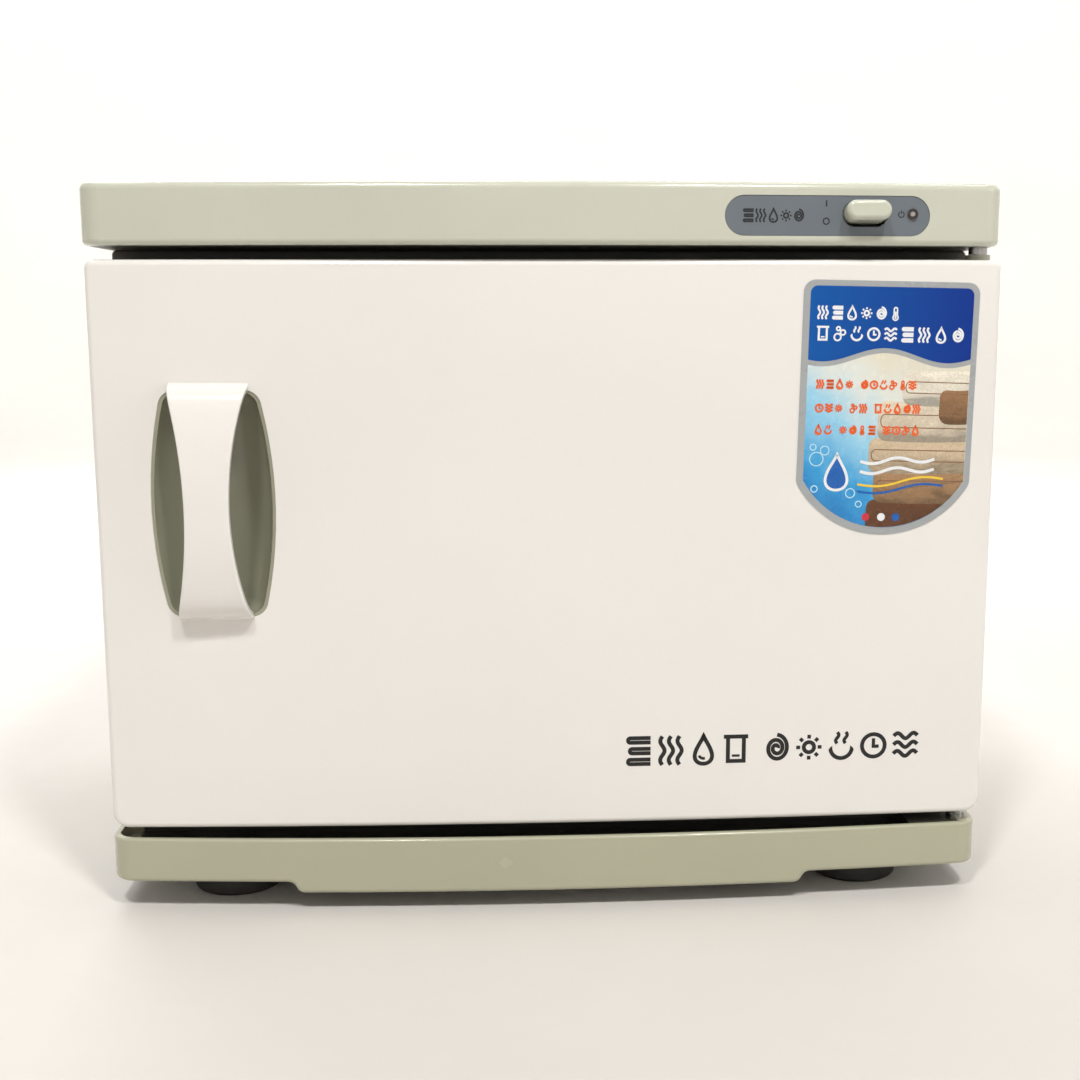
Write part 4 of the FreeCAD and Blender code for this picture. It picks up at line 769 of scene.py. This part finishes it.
def print_header():
    """Blue header with a wavy lower edge and two rows of white pictograms."""
    corner = 3.6
    left, right, top = BORDER, STICKER_WIDTH - BORDER, BORDER
    outline = [(u, -z) for u, z in reversed(wave_points(0.0))]
    upper = arc((left + corner, -top - corner), corner, 180, 90, 6)
    upper += arc((right - corner, -top - corner), corner, 90, 0, 6)
    sticker_piece("sticker_header", [filled(upper + outline)], ON_FOIL, header_ink("header_ink"))
    first = [steam, folded_towels, water_drop, sun, rolled_towel, thermometer]
    second = [hanging_towel, bubbles, basin, clock, water, folded_towels, steam, water_drop,
              rolled_towel]
    row = pictogram_row(first, 7.0, 49.0, -19.6, 6.8, 0.95)
    row += pictogram_row(second, 7.0, 81.5, -30.2, 7.6, 1.05)
    sticker_piece("sticker_header_pictograms", row, ON_HEADER, WHITE_INK)


def print_picture():
    """Sky under the silver wave, with the sticker's bowed lower edge."""
    silver = 2.5
    reach = ARC_R - BORDER
    half = STICKER_WIDTH / 2 - BORDER
    swing = math.degrees(math.asin(half / reach))
    bottom = arc((STICKER_WIDTH / 2, -ARC_V), reach, -90 + swing, -90 - swing, 32)
    outline = uv(wave_points(silver)) + bottom
    sticker_piece("sticker_sky", [filled(outline)], ON_FOIL, sky("sky_ink"))


def dense(points, step):
    """A closed outline with more points on its long edges, so that it can be bent or clipped."""
    closer = []
    for (u0, v0), (u1, v1) in zip(points, points[1:] + points[:1]):
        parts = max(1, math.ceil(math.hypot(u1 - u0, v1 - v0) / step))
        closer += [(u0 + (u1 - u0) * i / parts, v0 + (v1 - v0) * i / parts) for i in range(parts)]
    return closer


def towel_outline(left, right, top, bottom):
    """One folded towel of the pile: a soft corner at each end and slightly sagging edges."""
    corner, step, sag = 4.2, 2.0, 0.7
    points = dense(rounded_box(left, right, top, bottom, corner), step)
    span = right - left
    return [(u, v + sag * math.sin(math.pi * (u - left) / span)) for u, v in points]


def towel_folds(left, right, top, bottom):
    """Lines of a towel's folded layers, which turn back at the left end."""
    line, sag, inset, depth, steps = 0.5, 0.5, 3.4, 2.0, 10
    tall = bottom - top
    first, second = top + tall * 0.34, top + tall * 0.66
    middle, half = (first + second) / 2, (second - first) / 2
    angles = [math.pi * (1.5 - i / steps) for i in range(steps + 1)]
    bend = [(left + inset + depth * math.cos(a), middle + half * math.sin(a)) for a in angles]
    run = [(right, first + sag)] + bend + [(right, second + sag)]
    return ribbon(uv(clipped(run)), line)


def print_towels():
    """Pile of folded towels at the right of the picture, from the lowest up."""
    pile = [
        ("brown", (0.110, 0.042, 0.016), (36, 90, 108.5, 132)),
        ("tan", (0.340, 0.200, 0.100), (39, 90, 93.5, 110)),
        ("beige", (0.560, 0.440, 0.300), (36, 90, 77.5, 95)),
        ("sand", (0.660, 0.570, 0.440), (40, 90, 59, 79)),
        ("cream", (0.740, 0.690, 0.580), (52, 90, 43.5, 61)),
        ("fold", (0.270, 0.145, 0.068), (71, 90, 53, 70)),
    ]
    folds = []
    for order, (key, colour, edges) in enumerate(pile):
        left, right, top, bottom = edges
        outline = clipped(towel_outline(left, right, top, bottom))
        sticker_piece("sticker_towel_" + key, [filled(uv(outline))], ON_SKY + order * TOWEL_STEP,
                      terry(key + "_towel_ink", colour, top, bottom))
        if key not in ("brown", "fold"):
            folds.append(towel_folds(left, right, top, bottom))
    shadow = printed("towel_shadow_ink", (0.230, 0.130, 0.070), 0.28)
    sticker_piece("sticker_towel_folds", folds, ON_TOWELS, shadow)


def print_notes():
    """Orange rows over the picture, with a drop, bubbles and waves below them."""
    orange = printed("orange_ink", (0.780, 0.120, 0.020), 0.28)
    lines = [
        (53.6, [[steam, folded_towels, water_drop, sun],
                [rolled_towel, clock, basin, bubbles, thermometer, water]]),
        (65.4, [[clock, water, sun], [bubbles, steam],
                [hanging_towel, basin, water_drop, rolled_towel, steam]]),
        (76.2, [[water_drop, basin], [sun, rolled_towel, thermometer, folded_towels],
                [water, clock, bubbles, water_drop]]),
    ]
    left, height, pitch = 8, 4.7, 4.9
    rows = []
    for v, words in lines:
        rows += word_rows(left, v, height, pitch, words)
    sticker_piece("sticker_orange_rows", rows, ON_PICTURE, orange)
    pale = printed("pale_blue_ink", (0.420, 0.700, 0.860), 0.28)
    deep = printed("deep_blue_ink", (0.010, 0.110, 0.420), 0.28)
    yellow = printed("yellow_ink", (0.820, 0.560, 0.050), 0.28)
    red = printed("red_ink", (0.560, 0.030, 0.050), 0.28)
    drop = drop_outline(20, -95, 13, 18)
    sticker_piece("sticker_drop_edge", [ribbon(drop, 1.4, closed=True)], ON_DROP, WHITE_INK)
    sticker_piece("sticker_drop", [filled(drop)], ON_PICTURE, deep)
    foam = [((9.5, 88.5), 3.4), ((13.6, 84.2), 2.2), ((7.6, 82.6), 1.5), ((27.5, 105.5), 2.3),
            ((9.0, 103.5), 1.6), ((32.0, 111.0), 1.5)]
    rings = [ribbon(circle((u, -v), r), 0.6, closed=True) for (u, v), r in foam]
    sticker_piece("sticker_bubbles", rings, ON_PICTURE, pale)
    waves = [ribbon(uv(wavy(32, v, 38, -1.5, 1.3, 1.5)), 1.5) for v in (89.5, 94.5)]
    sticker_piece("sticker_white_waves", waves, ON_PICTURE, WHITE_INK)
    swash = [ribbon(uv(wavy(31, v, 44, -3.0, 1.6, 1.0)), 1.1) for v in (101.0, 104.5)]
    sticker_piece("sticker_yellow_waves", [swash[0]], ON_PICTURE, yellow)
    sticker_piece("sticker_deep_waves", [swash[1]], ON_PICTURE, deep)
    dot_v, dot_r = 117.5, 2.0
    for name, u, ink in (("red", 36, red), ("white", 44, WHITE_INK), ("blue", 51.5, deep)):
        sticker_piece("sticker_dot_" + name, [filled(circle((u, -dot_v), dot_r))], ON_PICTURE, ink)


print_door()
print_label()
print_header()
print_picture()
print_towels()
print_notes()


# ---------------------------------------------------------------- stage

def add_stage():
    """Pale round floor that curves up into a pale wall on every side."""
    middle_r, floor_r, corner, wall_top, steps, turns = 0.6, 2.6, 1.0, 3.4, 14, 72
    profile = [(middle_r, 0.0), (floor_r, 0.0)]
    for i in range(1, steps + 1):
        a = math.pi / 2 * i / steps
        profile.append((floor_r + corner * math.sin(a), corner - corner * math.cos(a)))
    profile.append((floor_r + corner, wall_top))
    bm = bmesh.new()
    rings = []
    angles = [2 * math.pi * i / turns for i in range(turns)]
    for r, z in profile:
        rings.append([bm.verts.new((r * math.cos(a), r * math.sin(a), z)) for a in angles])
    bm.faces.new(rings[0])
    for low, high in zip(rings, rings[1:]):
        for i in range(turns):
            after = (i + 1) % turns
            bm.faces.new((low[i], low[after], high[after], high[i]))
    bmesh.ops.recalc_face_normals(bm, faces=bm.faces)
    mesh = bpy.data.meshes.new("floor")
    bm.to_mesh(mesh)
    bm.free()
    for polygon in mesh.polygons:
        polygon.use_smooth = True
    g = Graph("floor_paper")
    g.colour(g.mix(g.spread(g.noise(3.0, 4.0), 0.0, 1.0), (0.64, 0.615, 0.58), (0.67, 0.645, 0.61)))
    g.rough(g.spread(g.noise(50.0, 3.0), 0.55, 0.7))
    mesh.materials.append(g.material)
    floor = bpy.data.objects.new("floor", mesh)
    bpy.context.scene.collection.objects.link(floor)


def add_light(name, place, target, size, power, colour=(1, 1, 1)):
    """A soft box of some watts at a place, turned to a target."""
    light = bpy.data.lights.new(name, "AREA")
    light.shape = "RECTANGLE"
    light.size, light.size_y = size
    light.energy = power
    light.color = colour
    lamp = bpy.data.objects.new(name, light)
    lamp.location = place
    direction = Vector(target) - Vector(place)
    lamp.rotation_euler = direction.to_track_quat("-Z", "Y").to_euler()
    bpy.context.scene.collection.objects.link(lamp)


def add_lights():
    """Two keys high in front, weak fills round the object, and washes on the pale walls."""
    warm = (1.0, 0.985, 0.965)
    world = bpy.data.worlds.new("world")
    world.use_nodes = True
    background = world.node_tree.nodes["Background"]
    background.inputs["Color"].default_value = (*warm, 1.0)
    background.inputs["Strength"].default_value = 0.13
    bpy.context.scene.world = world
    add_light("key_right", (0.50, -1.20, 1.95), (0.0, -0.15, 0.2), (0.22, 0.22), 21.0, warm)
    add_light("key_left", (-0.34, -1.20, 1.95), (-0.1, -0.15, 0.2), (0.18, 0.18), 17.5, warm)
    add_light("side_right", (2.2, -1.0, 1.1), (0, 0, 0.2), (1.0, 1.0), 7.0)
    add_light("front_fill", (0.7, -2.6, 0.9), (0, 0, 0.2), (1.8, 1.4), 2.0, (1.0, 0.98, 0.96))
    add_light("rear_fill", (-0.6, 1.4, 1.6), (0, 0, 0.2), (1.2, 0.8), 10.0)
    add_light("backdrop_wash", (0.0, 1.0, 2.4), (0.0, 2.9, 0.9), (3.0, 0.6), 110.0)
    add_light("front_wash", (0.0, -1.4, 2.6), (0.0, -3.6, 1.0), (3.0, 0.6), 10.0)
    add_light("left_wash", (-1.4, 0.0, 2.6), (-3.6, 0.0, 1.0), (0.6, 3.0), 14.0)
    add_light("right_wash", (1.4, 0.0, 2.6), (3.6, 0.0, 1.0), (0.6, 3.0), 14.0)


def set_view():
    """Plain colours, with no film look."""
    scene = bpy.context.scene
    scene.view_settings.view_transform = "Standard"
    scene.view_settings.look = "None"
    scene.view_settings.exposure = 0.0


add_stage()
add_lights()
set_view()
